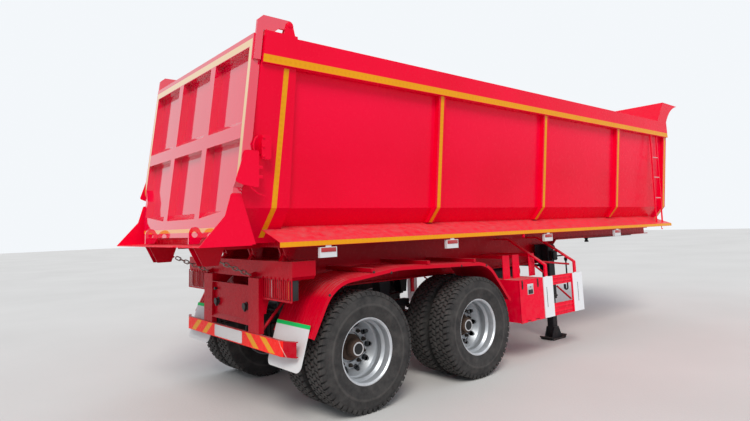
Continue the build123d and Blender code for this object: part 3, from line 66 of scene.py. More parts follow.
# ------------------------------------------------------------------ camera, light and floor
# A person's height behind the right rear corner, looking a little up along the side. Even
# light from an open sky, with one broad soft lamp, and a plain pale concrete floor.
camera = bpy.data.objects.new("camera", bpy.data.cameras.new("camera"))
scene.collection.objects.link(camera)
camera.data.lens = 26.16
camera.data.sensor_width = 36
camera.data.shift_y = -0.0787
camera.data.clip_end = 200
heading, pitch, roll = radians(49.824), radians(7.84), radians(-1.867)
camera.matrix_world = (Matrix.Translation((-6.2288, -5.2481, 1.6643))
                       @ Matrix.Rotation(heading - pi / 2, 4, "Z")
                       @ Matrix.Rotation(pi / 2 + pitch, 4, "X")
                       @ Matrix.Rotation(roll, 4, "Z"))
scene.camera = camera
scene.view_settings.view_transform = "Standard"


class Field:
    """A number that varies over a surface: arithmetic on it adds Math nodes."""

    def __init__(self, tree, socket):
        self.tree = tree
        self.socket = socket

    def math(self, operation, *others, turned=False):
        node = self.tree.nodes.new("ShaderNodeMath")
        node.operation = operation
        values = (others[0], self) if turned else (self, *others)
        for slot, value in zip(node.inputs, values):
            if isinstance(value, Field):
                self.tree.links.new(value.socket, slot)
            else:
                slot.default_value = value
        return Field(self.tree, node.outputs[0])

    def __add__(self, other):
        return self.math("ADD", other)

    def __sub__(self, other):
        return self.math("SUBTRACT", other)

    def __rsub__(self, other):
        return self.math("SUBTRACT", other, turned=True)

    def __mul__(self, other):
        return self.math("MULTIPLY", other)

    def __truediv__(self, other):
        return self.math("DIVIDE", other)

    def __pow__(self, other):
        return self.math("POWER", other)

    __radd__ = __add__
    __rmul__ = __mul__

    def size(self):
        return self.math("ABSOLUTE")

    def least(self, other):
        return self.math("MINIMUM", other)

    def most(self, other):
        return self.math("MAXIMUM", other)

    def held(self):
        """Kept between 0 and 1."""
        return self.most(0.0).least(1.0)

    def rise(self, low, high):
        """0 up to low, 1 from high on, and even between them."""
        return ((self - low) / (high - low)).held()

    def between(self, low, high, soft=0.0008):
        """1 from low to high, with narrow soft edges."""
        return self.rise(low - soft, low + soft) * (1 - self.rise(high - soft, high + soft))

    def wave(self, turns):
        return (self * (turns * 2 * pi)).math("SINE") * 0.5 + 0.5


class Finish:
    """A material, with one call for each kind of node that its surface needs."""

    def __init__(self, name, **surface):
        self.material = bpy.data.materials.new(name)
        self.material.use_nodes = True
        self.tree = self.material.node_tree
        self.shader = self.tree.nodes["Principled BSDF"]
        for socket, value in surface.items():
            self.set(socket, value)
        self.place = None

    def node(self, kind, settings=None, sockets=None, out=0):
        made = self.tree.nodes.new(kind)
        for key, value in (settings or {}).items():
            setattr(made, key, value)
        for key, value in (sockets or {}).items():
            self.feed(made.inputs[key], value)
        return Field(self.tree, made.outputs[out])

    def feed(self, slot, value):
        if isinstance(value, Field):
            self.tree.links.new(value.socket, slot)
        elif isinstance(value, tuple) and len(value) == 3 and len(slot.default_value) == 4:
            slot.default_value = (*value, 1.0)
        else:
            slot.default_value = value

    def set(self, socket, value):
        self.feed(self.shader.inputs[socket.replace("_", " ")], value)

    def at(self):
        """Object coordinates, in metres in the trailer's own frame."""
        if self.place is None:
            self.place = self.node("ShaderNodeTexCoord", out=3)
        return self.place

    def xyz(self, vector=None):
        split = self.tree.nodes.new("ShaderNodeSeparateXYZ")
        self.feed(split.inputs[0], vector or self.at())
        return [Field(self.tree, out) for out in split.outputs]

    def facing(self):
        """The three parts of the surface's own normal."""
        return self.xyz(self.node("ShaderNodeNewGeometry", out=1))

    def noise(self, scale, detail=3.0, rough=0.5, stretch=(1, 1, 1)):
        where = self.at()
        if stretch != (1, 1, 1):
            where = self.node("ShaderNodeMapping", {}, {"Vector": where, "Scale": stretch})
        return self.node("ShaderNodeTexNoise", {},
                         {"Vector": where, "Scale": scale, "Detail": detail, "Roughness": rough})

    def blend(self, share, first, second):
        """From the first colour to the second, by share."""
        mix = self.tree.nodes.new("ShaderNodeMix")
        mix.data_type = "RGBA"
        self.feed(mix.inputs[0], share)
        self.feed(mix.inputs[6], first)
        self.feed(mix.inputs[7], second)
        return Field(self.tree, mix.outputs[2])

    def bumps(self, *layers):
        """Bump from (height, depth in metres) pairs, one on another."""
        normal = None
        for height, depth in layers:
            sockets = {"Height": height, "Distance": depth, "Strength": 1.0}
            if normal is not None:
                sockets["Normal"] = normal
            normal = self.node("ShaderNodeBump", {}, sockets)
        self.set("Normal", normal)


def keep(finish, *nodes):
    """Gives CAD nodes that keep their own shape a finish."""
    for node in nodes:
        slots = frame["nodes"][node].data.materials
        slots.clear()
        slots.append(finish.material)


floor_finish = Finish("pale_concrete", Roughness=0.9)
stain = floor_finish.noise(0.35, 4)
floor_finish.set("Base_Color", floor_finish.blend(stain, (0.56, 0.55, 0.53), (0.68, 0.67, 0.65)))
floor_finish.bumps((floor_finish.noise(40, 4), 0.002))
floor_mesh = bpy.data.meshes.new("floor")
reach = 70
floor_mesh.from_pydata([(-reach, -reach, 0), (reach, -reach, 0), (reach, reach, 0),
                        (-reach, reach, 0)],
                       [], [(0, 1, 2, 3)])
floor_mesh.materials.append(floor_finish.material)
floor = bpy.data.objects.new("floor", floor_mesh)
scene.collection.objects.link(floor)
floor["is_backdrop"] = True

sky = bpy.data.worlds.new("sky")
scene.world = sky
sky.use_nodes = True
sky_tree = sky.node_tree
soft_light = sky_tree.nodes["Background"]
soft_light.inputs["Color"].default_value = (0.86, 0.91, 1.0, 1)
soft_light.inputs["Strength"].default_value = 0.72
seen = sky_tree.nodes.new("ShaderNodeBackground")
seen.inputs["Color"].default_value = (0.90, 0.93, 0.96, 1)
rays = sky_tree.nodes.new("ShaderNodeLightPath")
shown = Field(sky_tree, rays.outputs["Is Camera Ray"])
for kind in ("Is Glossy Ray", "Is Transmission Ray"):
    shown = shown.most(Field(sky_tree, rays.outputs[kind]))
chosen = sky_tree.nodes.new("ShaderNodeMixShader")
sky_tree.links.new(shown.socket, chosen.inputs[0])
sky_tree.links.new(soft_light.outputs[0], chosen.inputs[1])
sky_tree.links.new(seen.outputs[0], chosen.inputs[2])
sky_tree.links.new(chosen.outputs[0], sky_tree.nodes["World Output"].inputs[0])

sun = bpy.data.objects.new("sun", bpy.data.lights.new("sun", "SUN"))
sun.data.energy = 2.1
sun.data.angle = radians(25)
sun.data.color = (1.0, 0.97, 0.92)
sun.rotation_euler = (radians(46), 0, radians(-40))
scene.collection.objects.link(sun)

# ------------------------------------------------------------------ main frame
# Two deep welded I-beams that step down to a shallow neck, tied by round tubes. Sprayed red
# over primer after welding, with road dust on what faces up and low down. Their darker red is
# painted shade, for the shade under the tub.
spins = {joint["name"]: joint["pos_m"]
         for joint in frame["joints"] if joint["name"].endswith("_spin")}
axle_x, _, hub_z = spins["wheels_rear_left_spin"]
front_axle_x = spins["wheels_front_left_spin"][0]
RED = (0.90, 0.0, 0.034)
DEEP_RED = (0.80, 0.0, 0.024)
DUST = (0.36, 0.29, 0.26)


def enamel(name, colour=RED, dark=DEEP_RED, gloss=0.24, waves=0.004, dust=0.4, marks=(), **surface):
    """Sprayed enamel. A mark is a function of the finish that gives its mask and its colour."""
    finish = Finish(name, **{"Specular_IOR_Level": 0.11, **surface})
    z = finish.xyz()[2]
    up = finish.facing()[2]
    cloud = finish.noise(0.9, 3)
    fine = finish.noise(14, 4, 0.6)
    settled = up.rise(0.6, 0.98) * fine.rise(0.2, 0.75) * dust
    splash = (1 - z.rise(0.25, 1.2)) * fine.rise(0.45, 0.85) * dust * 0.15
    dirt = (settled + splash).held()
    paint = finish.blend(cloud.rise(0.3, 0.75), colour, dark)
    for mark in marks:
        mask, shade = mark(finish)
        paint = finish.blend(mask, paint, shade)
    finish.set("Base_Color", finish.blend(dirt, paint, DUST))
    finish.set("Roughness", (gloss + dirt * 0.5 + fine * 0.06).held())
    finish.bumps((finish.noise(1.1, 1), waves), (finish.noise(260, 1), 0.0001))
    return finish


red = enamel("red_enamel")
# Painted shade: a darker copy of the body's red for the frame and the parts under the tub.
shade_red = enamel("chassis_red", (0.50, 0.0, 0.014), (0.42, 0.0, 0.010), dust=0.6)
black = enamel("black_enamel", (0.02, 0.02, 0.023), (0.012, 0.012, 0.014), 0.33, 0.001, 0.55)
keep(shade_red, "main_beams", "cross_members", "rear_beam", "cylinder_cradle", "guard_brackets")
keep(black, "skid_plate", "air_tanks")


class Shape:
    """A piece in the making, from blocks, rings of points, bars and turned shapes."""

    def __init__(self):
        self.work = bmesh.new()

    def block(self, x, y, z, edge=0.002):
        """Box between two values on each axis, with its edges taken off."""
        corners = bmesh.ops.create_cube(self.work, size=1)["verts"]
        edges = []
        for corner in corners:
            corner.co = [span[0] + (part + 0.5) * (span[1] - span[0])
                         for part, span in zip(corner.co, (x, y, z))]
            edges += [e for e in corner.link_edges if e not in edges]
        if edge:
            bmesh.ops.bevel(self.work, geom=edges, offset=edge, segments=2, profile=0.5,
                            affect="EDGES")
        return self

    def rings(self, rings, loop=False):
        """Skin over rings of points that follow one another, closed at both ends or all round."""
        made = [[self.work.verts.new(point) for point in ring] for ring in rings]
        pairs = list(zip(made, made[1:])) + ([(made[-1], made[0])] if loop else [])
        for first, second in pairs:
            for i in range(len(first)):
                j = (i + 1) % len(first)
                self.work.faces.new((first[i], first[j], second[j], second[i]))
        if not loop:
            self.work.faces.new(made[0])
            self.work.faces.new(made[-1])
        return self

    def bar(self, points, radius, sides=10):
        """Round bar along a line of points."""
        points = [Vector(point) for point in points]
        rings = []
        across = None
        for i, point in enumerate(points):
            back = (point - points[i - 1]).normalized() if i else None
            ahead = (points[i + 1] - point).normalized() if i + 1 < len(points) else None
            along = ((back or ahead) + (ahead or back)).normalized()
            if across is None:
                across = along.orthogonal().normalized()
            across = (across - along * across.dot(along)).normalized()
            other = along.cross(across)
            angles = [2 * pi * k / sides for k in range(sides)]
            rings.append([point + radius * (across * cos(a) + other * sin(a)) for a in angles])
        return self.rings(rings)

    def turned(self, profile, centre, axis="y", steps=32):
        """Shape turned round an axis through centre, from (radius, distance along it) points."""
        def point(r, along, angle):
            a, b = r * cos(angle), r * sin(angle)
            spot = {"x": (along, a, b), "y": (a, along, b), "z": (a, b, along)}[axis]
            return Vector(centre) + Vector(spot)
        return self.rings([[point(r, along, 2 * pi * k / steps) for k in range(steps)]
                           for r, along in profile])

    def data(self, name, finish, sharp=32):
        """The finished mesh."""
        made = bpy.data.meshes.new(name)
        bmesh.ops.remove_doubles(self.work, verts=self.work.verts, dist=1e-5)
        bmesh.ops.dissolve_degenerate(self.work, edges=self.work.edges, dist=1e-6)
        bmesh.ops.recalc_face_normals(self.work, faces=self.work.faces)
        self.work.to_mesh(made)
        self.work.free()
        made.shade_smooth()
        made.set_sharp_from_angle(angle=radians(sharp))
        made.materials.append(finish.material)
        return made

    def done(self, name, finish, body, slot, sharp=32):
        """Puts the piece on its body. Its slot argument is not used."""
        return place(name, self.data(name, finish, sharp), body)


def place(name, data, body):
    piece = bpy.data.objects.new(name, data)
    scene.collection.objects.link(piece)
    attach(piece, body)
    return piece


# weld beads where the round tubes meet the webs of the long beams
low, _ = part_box("cross_members")
beads = Shape()
tube_z, tube_r, web_y = 1.24, 0.060, 0.495
tube_x = low.x + tube_r
while tube_x < front_axle_x + 3:
    for side in (-1, 1):
        ring = []
        for k in range(24):
            angle = 2 * pi * k / 24
            middle = Vector((tube_x + tube_r * cos(angle), side * (web_y - 0.002),
                             tube_z + tube_r * sin(angle)))
            out = Vector((cos(angle), 0, sin(angle)))
            ring.append([middle + 0.007 * (out * cos(a) + Vector((0, side, 0)) * sin(a))
                         for a in [2 * pi * j / 6 for j in range(6)]])
        beads.rings(ring, loop=True)
    tube_x += 0.76
beads.done("frame_weld_beads", shade_red, "chassis", "red_paint")

# ------------------------------------------------------------------ springs and axles
# Stacks of leaves on square axles, in welded hangers. Each stack is clamped to its axle by two
# round clips with nuts under a plate. Black, oily and dusty.
steel = enamel("spring_steel", (0.05, 0.048, 0.046), (0.03, 0.03, 0.03), 0.5, 0.0004, 0.9)
keep(steel, "leaf_springs", "axles")
keep(black, "spring_hangers")
clips = Shape()
for x in (axle_x, front_axle_x):
    for side in (-1, 1):
        for dx in (-0.088, 0.088):
            inner, outer = side * 0.447, side * 0.553
            clips.bar([(x + dx, inner, 0.440), (x + dx, inner, 0.742),
                       (x + dx, side * 0.465, 0.760),
                       (x + dx, side * 0.535, 0.760), (x + dx, outer, 0.742),
                       (x + dx, outer, 0.440)], 0.010)
            for y in (inner, outer):
                clips.turned([(0.017, 0.444), (0.018, 0.447), (0.018, 0.458), (0.017, 0.461)],
                             (x + dx, y, 0), "z", 6)
        clips.block((x - 0.11, x + 0.11), sorted((side * 0.430, side * 0.570)), (0.462, 0.468))
clips.done("spring_clips", steel, "chassis", "spring_steel")

# ------------------------------------------------------------------ wheels
# Twin steel-belted tyres with five rows of lugs, moulded in black rubber and dusty from the
# road, on stamped silver disc wheels. Ten nuts hold them to a brown, rusty cast hub.
rubber = Finish("tyre_rubber", Roughness=0.85, Specular_IOR_Level=0.3)


def wheel_place(finish):
    """Distance from the nearest wheel's own axis, and distance from the middle plane."""
    x, y, z = finish.xyz()
    along = (x - axle_x).size().least((x - front_axle_x).size())
    return (along ** 2 + (z - hub_z) ** 2) ** 0.5, y.size()


r, _ = wheel_place(rubber)
grit = rubber.noise(9, 5, 0.65)
dusty = (0.15 + grit.rise(0.35, 0.75) * 0.5 + r.rise(0.530, 0.536) * 0.25).held()
ring_light = r.between(0.405, 0.425, 0.004) * 0.5
rubber.set("Base_Color",
           rubber.blend((dusty + ring_light * 0.5).held(), (0.013, 0.013, 0.0145),
                        (0.095, 0.088, 0.083)))
rubber.bumps((rubber.noise(60, 3), 0.0012), (r.wave(120), 0.0006))

silver = Finish("silver_wheel")
r, across = wheel_place(silver)
rust = silver.noise(16, 5, 0.6)
hub = (1 - r.rise(0.139, 0.1415)) * across.rise(0.9335, 0.9345)
cap_edge = r.between(0.050, 0.062, 0.001) * across.rise(1.058, 1.060)
cap = (1 - r.rise(0.049, 0.050)) * across.rise(1.058, 1.060)
# Painted shade: the wheels are darkened inboard of the outer rim's flange, as if in the shade of
# the recess.
painted_recess_shade = 1 - across.rise(1.10, 1.19)
shade = silver.blend(rust.rise(0.3, 0.8), (0.66, 0.69, 0.73), (0.50, 0.51, 0.52))
shade = silver.blend(painted_recess_shade * 0.6, shade, (0.26, 0.28, 0.30))
shade = silver.blend(hub, shade, silver.blend(rust, (0.035, 0.022, 0.016), (0.10, 0.055, 0.035)))
shade = silver.blend(cap_edge, shade, (0.55, 0.55, 0.56))
silver.set("Base_Color", silver.blend(cap, shade, (0.012, 0.012, 0.013)))
silver.set("Metallic", ((1 - hub) * 0.6).held())
silver.set("Roughness", (0.36 + hub * 0.4 + rust * 0.12 - cap_edge * 0.2).held())
silver.bumps((silver.noise(120, 2), 0.0003), (rust * hub, 0.002))
dark_steel = enamel("dark_nuts", (0.055, 0.045, 0.040), (0.03, 0.025, 0.022), 0.45, 0.0003, 0.5)

tree = bpy.data.node_groups.new("copies", "GeometryNodeTree")
sockets = {label: tree.interface.new_socket(label, in_out="INPUT", socket_type="NodeSocket" + kind)
           for label, kind in (("Shape", "Geometry"), ("Count", "Int"), ("Start", "Vector"),
                               ("Turn", "Vector"), ("Finish", "Material"))}
tree.interface.new_socket("Copies", in_out="OUTPUT", socket_type="NodeSocketGeometry")
kinds = ("NodeGroupInput", "GeometryNodeInputIndex", "GeometryNodePoints", "ShaderNodeVectorMath",
         "FunctionNodeEulerToRotation", "GeometryNodeInstanceOnPoints",
         "GeometryNodeRealizeInstances", "GeometryNodeSetMaterial", "NodeGroupOutput")
given, index, points, turns, spin, made, single, dressed, ready = map(tree.nodes.new, kinds)
turns.operation = "MULTIPLY"
for source, target in ((given.outputs["Count"], points.inputs["Count"]),
                       (given.outputs["Start"], points.inputs["Position"]),
                       (index.outputs[0], turns.inputs[0]),
                       (given.outputs["Turn"], turns.inputs[1]),
                       (turns.outputs[0], spin.inputs[0]),
                       (points.outputs[0], made.inputs["Points"]),
                       (given.outputs["Shape"], made.inputs["Instance"]),
                       (spin.outputs[0], made.inputs["Rotation"]),
                       (made.outputs[0], single.inputs[0]),
                       (single.outputs[0], dressed.inputs["Geometry"]),
                       (given.outputs["Finish"], dressed.inputs["Material"]),
                       (dressed.outputs[0], ready.inputs[0])):
    tree.links.new(source, target)


def copies(shape, finish, count, start, turn):
    """Mesh of a ring of copies of a shape that is built round its own origin."""
    source = bpy.data.objects.new("source", shape.data("source", finish))
    scene.collection.objects.link(source)
    modifier = source.modifiers.new("copies", "NODES")
    modifier.node_group = tree
    for label, value in (("Count", count), ("Start", start), ("Turn", turn)):
        modifier[sockets[label].identifier] = value
    modifier[sockets["Finish"].identifier] = finish.material
    depsgraph = bpy.context.evaluated_depsgraph_get()
    result = bpy.data.meshes.new_from_object(source.evaluated_get(depsgraph))
    bpy.data.objects.remove(source)
    return result


def gather(name, finish, body, slot, *parts):
    """One piece from several meshes."""
    whole = Shape()
    for part in parts:
        whole.work.from_mesh(part)
    return whole.done(name, finish, body, slot)


pitches = 54
twin_centres = (0.745, 1.095)
disc_face_y, hub_end_y = 0.932, 1.024
nut_ring, stud_ring = 0.1675, 0.0715
casing = [(0.292, -0.095), (0.300, -0.118), (0.340, -0.134), (0.395, -0.143), (0.402, -0.1448),
          (0.424, -0.1448),
          (0.431, -0.142), (0.470, -0.139), (0.500, -0.133), (0.5165, -0.122), (0.522, -0.09),
          (0.5235, 0.0)]
casing = casing + [(r, -t) for r, t in reversed(casing[:-1])]
for place_name, wheel_x in (("rear", axle_x), ("front", front_axle_x)):
    for side_name, side in (("left", 1), ("right", -1)):
        body = f"wheels_{place_name}_{side_name}"
        parts = []
        for middle in [side * y for y in twin_centres]:
            shell = Shape()
            points = [[(wheel_x + r * sin(a), middle + t, hub_z + r * cos(a)) for r, t in casing]
                      for a in [2 * pi * k / 72 for k in range(72)]]
            shell.rings(points, loop=True)
            parts.append(shell.data("casing", rubber, 40))
            for row, at in enumerate((-0.105, -0.053, 0, 0.053, 0.105)):
                lug = Shape()
                half = 0.0225
                if abs(at) > 0.1:
                    outer = at / abs(at)
                    profile = [(outer * t, r) for t, r in (
                        (0.083, 0.512), (0.083, 0.5365), (0.120, 0.5355),
                        (0.133, 0.527), (0.1405, 0.497), (0.130, 0.494))]
                else:
                    profile = [(at - 0.022, 0.512), (at - 0.022, 0.5365), (at - 0.019, 0.5375),
                               (at + 0.019, 0.5375), (at + 0.022, 0.5365), (at + 0.022, 0.512)]
                lean = 0.007 if row % 2 else -0.007
                lug.rings([[(s * half * (r / 0.5375) + lean * (t - at) / 0.02, t,
                             r - (0.0009 if abs(s) > 0.9 else 0))
                            for t, r in profile] for s in (-1, -0.82, 0.82, 1)])
                start_turn = (row % 2) * pi / pitches
                ring = copies(lug, rubber, pitches, (0.0, 0.0, 0.0),
                              turn=(0.0, 2 * pi / pitches, 0.0))
                ring.transform(Matrix.Translation((wheel_x, middle, hub_z))
                               @ Matrix.Rotation(start_turn, 4, "Y"))
                parts.append(ring)
        tyre = gather(f"tyre_pair_{place_name}_{side_name}", rubber, body, "tyre_rubber", *parts)
        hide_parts(f"tyres_{place_name}_{side_name}")
        keep(silver, f"rims_{place_name}_{side_name}")
        # ten nuts with washers on the disc, and bolts round the hub's cap
        nut = Shape()
        face = side * disc_face_y
        nut.turned([(0.020, face - side * 0.001), (0.0205, face + side * 0.004),
                    (0.0165, face + side * 0.006)],
                   (0, 0, nut_ring), "y", 20)
        nut.turned([(0.0175, face), (0.0182, face + side * 0.003), (0.0182, face + side * 0.024),
                    (0.0155, face + side * 0.027)], (0, 0, nut_ring), "y", 6)
        nut.turned([(0.010, face), (0.010, face + side * 0.038), (0.008, face + side * 0.040)],
                   (0, 0, nut_ring), "y", 12)
        nuts = copies(nut, dark_steel, 10, (wheel_x, 0.0, hub_z), turn=(0.0, 2 * pi / 10, 0.0))
        small = Shape()
        end = side * hub_end_y
        small.turned([(0.007, end - side * 0.001), (0.0075, end + side * 0.001),
                      (0.0075, end + side * 0.006),
                      (0.006, end + side * 0.0075)], (0, 0, stud_ring), "y", 6)
        studs = copies(small, dark_steel, 8, (wheel_x, 0.0, hub_z), turn=(0.0, 2 * pi / 8, 0.0))
        gather(f"wheel_nuts_{place_name}_{side_name}", dark_steel, body, "spring_steel", nuts,
               studs)

# ------------------------------------------------------------------ landing legs
# Square telescopic legs with folded feet, driven by a crank through a small gearbox. Black
# enamel, dusty where it faces up. A sleeve turns on the crank's handle.
keep(black, "landing_legs")
leg_x, leg_y, leg_w = axle_x + 3.860, 0.650, 0.150
bolts = Shape()
for side in (-1, 1):
    inner = side * (leg_y - 0.075)
    for dx, z in ((-0.17, 1.21), (-0.17, 1.29), (0.17, 1.21), (0.17, 1.29), (-0.10, 1.02),
                  (0.10, 1.02)):
        bolts.turned([(0.013, inner + side * 0.011), (0.014, inner + side * 0.013),
                      (0.014, inner + side * 0.022),
                      (0.012, inner + side * 0.024)], (leg_x + dx, 0, z), "y", 6)
    for z in (0.60, 1.30):
        bolts.block((leg_x - 0.069, leg_x + 0.069), sorted((side * 0.571, side * 0.729)),
                    (z - 0.012, z + 0.012), 0.004)
bolts.done("leg_bands_and_bolts", black, "chassis", "black_paint")
gearbox = Shape()
gear_y = -leg_y - leg_w / 2 - 0.05
gearbox.block((leg_x - 0.05, leg_x + 0.05), (gear_y - 0.006, gear_y + 0.001), (1.112, 1.228), 0.003)
for dx in (-0.038, 0.038):
    for z in (1.124, 1.216):
        gearbox.turned([(0.007, gear_y - 0.005), (0.007, gear_y - 0.011), (0.006, gear_y - 0.0125)],
                       (leg_x + dx, 0, z), "y", 6)
gearbox.turned([(0.024, leg_x + 0.058), (0.024, leg_x + 0.078), (0.017, leg_x + 0.083)],
               (0, -0.740, 1.155), "x", 20)
gearbox.done("leg_gearbox_cover", black, "chassis", "black_paint")
sleeve = Shape()
sleeve.turned([(0.0125, 0.672), (0.017, 0.674), (0.018, 0.69), (0.017, 0.706), (0.018, 0.722),
               (0.016, 0.738),
               (0.0125, 0.741)], (leg_x + 0.255, -0.740, 0), "z", 20)
sleeve.turned([(0.0125, 1.10), (0.021, 1.104), (0.024, 1.12), (0.024, 1.145), (0.0125, 1.155)],
              (leg_x + 0.330, -0.740, -0.03), "z", 20)
sleeve.done("crank_sleeve", black, "chassis", "black_paint")

# ------------------------------------------------------------------ rear beam and lamps
# A closed box section behind the beams, with lamps under it behind flat welded bars. The lamps
# are moulded units with coloured lenses in a black housing.
beam_x = axle_x - 0.750
bars = Shape()
for side in (-1, 1):
    pitch = 0.508 / 7
    for i in range(7):
        y = side * (0.626 + (i + 0.5) * pitch)
        bars.block((beam_x - 0.0078, beam_x - 0.0002), (y - 0.005, y + 0.005), (1.0405, 1.2235),
                   0.001)
bars.done("lamp_cage_bars", shade_red, "chassis", "red_paint")

housing = Finish("lamp_housing", Base_Color=(0.012, 0.012, 0.013), Roughness=0.5)
housing.bumps((housing.noise(300, 1), 0.0002))
lenses = {}
for name, colour in (("red", (0.42, 0.002, 0.006)), ("clear", (0.75, 0.76, 0.76)),
                     ("orange", (0.85, 0.16, 0.005))):
    lens = Finish(f"{name}_lens", Roughness=0.12, Coat_Weight=0.6, Coat_Roughness=0.05)
    _, y, z = lens.xyz()
    ribs = z.wave(110) * y.wave(110)
    lens.set("Base_Color", lens.blend(ribs * 0.5, colour, tuple(c * 0.5 for c in colour)))
    lens.bumps((ribs, 0.0012))
    lenses[name] = lens
lamp_x = axle_x - 0.735
lens_span = {"red": ((0.632, 0.712), (0.774, 1.006)), "clear": ((0.716, 0.770),),
             "orange": ((1.010, 1.055),)}
box_shape = Shape()
for side in (-1, 1):
    box_shape.block((lamp_x + 0.012, lamp_x + 0.074), sorted((side * 0.631, side * 1.099)),
                    (1.051, 1.2245), 0.006)
    box_shape.block((lamp_x + 0.001, lamp_x + 0.014), sorted((side * 1.058, side * 1.098)),
                    (1.056, 1.220), 0.004)
housings = box_shape.done("tail_lamp_housings", housing, "chassis", "lamp_plastic")
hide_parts("tail_lamps")
for name, spans in lens_span.items():
    glass = Shape()
    for side in (-1, 1):
        for span in spans:
            glass.block((lamp_x + 0.0005, lamp_x + 0.0125), sorted(side * y for y in span),
                        (1.058, 1.218), 0.005)
    glass.done(f"tail_lamp_{name}_lens", lenses[name], "chassis", "lamp_plastic")

# ------------------------------------------------------------------ underrun bumper
# A folded channel on two welded legs under the lamps, red with painted yellow bars. A number
# plate of pressed sheet is screwed to its middle, left blank. Two black air couplings sit above.
TAPE = (0.84, 0.36, 0.008)


def bumper_bars(finish):
    _, y, z = finish.xyz()
    nx = finish.facing()[0]
    mask = None
    for start, width, slope in ((0.368, 0.107, 1.383), (0.650, 0.110, 1.443)):
        bar = (y.size() + (z - 0.718) * slope).between(start, start + width)
        mask = bar if mask is None else mask.most(bar)
    return mask * z.between(0.603, 0.718) * (nx * -1).rise(0.7, 0.8), TAPE


def bumper_seam(finish):
    _, y, z = finish.xyz()
    nx = finish.facing()[0]
    line = (y.size() + (z - 0.720) * 0.667).between(0.989, 0.996)
    return line * z.between(0.596, 0.724) * (nx * -1).rise(0.7, 0.8) * 0.7, (0.80, 0.62, 0.50)


def sheeting_and_painted_reflection(finish):
    """Light-catching sheeting on the bumper's face, painted brighter and more orange than the
    paint: partly a painted reflection.
    """
    nx = finish.facing()[0]
    x, _, z = finish.xyz()
    face = z.between(0.596, 0.724) * (x - axle_x).between(-0.83, -0.79)
    return (nx * -1).rise(0.7, 0.8) * face, (1.0, 0.020, 0.012)


# Painted shade: the bumper's red is a darker copy of the body's red.
bumper = enamel("bumper_red", (0.52, 0.0, 0.014), (0.44, 0.0, 0.010), dust=0.75,
                marks=(sheeting_and_painted_reflection, bumper_bars, bumper_seam))
keep(bumper, "underrun_guard")
plate_x = axle_x - 0.800
pale = enamel("blank_plate", (0.78, 0.78, 0.76), (0.70, 0.70, 0.68), 0.3, 0.0003, 0.5)
sheet = Shape()
sheet.block((plate_x - 0.004, plate_x - 0.0002), (-0.305, 0.305), (0.607, 0.720), 0.0015)
for y in (-0.305, 0.2975):
    sheet.block((plate_x - 0.0065, plate_x - 0.003), (y, y + 0.0075), (0.607, 0.720), 0.001)
for z in (0.607, 0.7125):
    sheet.block((plate_x - 0.0065, plate_x - 0.003), (-0.305, 0.305), (z, z + 0.0075), 0.001)
for y in (-0.27, 0.27):
    sheet.turned([(0.006, plate_x - 0.0035), (0.006, plate_x - 0.006), (0.004, plate_x - 0.0072)],
                 (0, y, 0.664), "x", 16)
sheet.done("number_plate_blank", pale, "chassis", "silver_paint")
panel_x = axle_x - 0.760
coupling = Shape()
for y in (-0.32, 0.32):
    coupling.turned([(0.038, panel_x - 0.0002), (0.038, panel_x - 0.008), (0.030, panel_x - 0.012),
                     (0.030, panel_x - 0.028), (0.034, panel_x - 0.030), (0.033, panel_x - 0.036)],
                    (0, y, 0.95), "x", 28)
    coupling.block((panel_x - 0.030, panel_x - 0.010), (y - 0.012, y + 0.012), (0.900, 0.925),
                   0.003)
coupling.turned([(0.012, panel_x - 0.0002), (0.012, panel_x - 0.018), (0.016, panel_x - 0.020),
                 (0.014, panel_x - 0.030)], (0, 0.356, 1.074), "x", 20)
coupling.done("air_couplings", housing, "chassis", "black_paint")
strut = Shape()
for side in (-1, 1):
    strut.bar([(axle_x - 0.738, side * 0.573, 0.745), (axle_x - 0.440, side * 0.573, 1.058)], 0.015,
              14)
strut.done("underrun_struts", shade_red, "chassis", "red_paint")

# ------------------------------------------------------------------ mudguards and flaps
# Ribbed plates of red sheet over the wheels, bolted at their rims, with stiff white rubber
# flaps behind them that carry a green band along the top.
# Painted shade: the guards' red is a darker copy of the body's red.
guard_red_sheet = enamel("mudguard_red", (0.66, 0.0, 0.020), (0.56, 0.0, 0.015), 0.3, 0.002, 0.45)
keep(guard_red_sheet, "mudguard_left", "mudguard_right")
fixings = Shape()
for side in (-1, 1):
    rim = side * 1.240
    for x, z in ((-0.437, 1.084), (0.070, 1.243), (0.287, 1.222), (1.30, 1.215), (1.72, 1.19)):
        fixings.turned([(0.013, rim), (0.014, rim + side * 0.001), (0.014, rim + side * 0.006),
                        (0.010, rim + side * 0.008)], (axle_x + x, 0, z), "y", 6)
fixings.done("mudguard_bolts", dark_steel, "chassis", "spring_steel")


def green_band(finish):
    z = finish.xyz()[2]
    return z.rise(0.813, 0.817), (0.008, 0.55, 0.12)


flap_white = enamel("flap_rubber", (0.72, 0.73, 0.73), (0.66, 0.67, 0.66), 0.55, 0.001, 0.45,
                    (green_band,),
                    Coat_Weight=0.0)
keep(flap_white, "mudflaps")
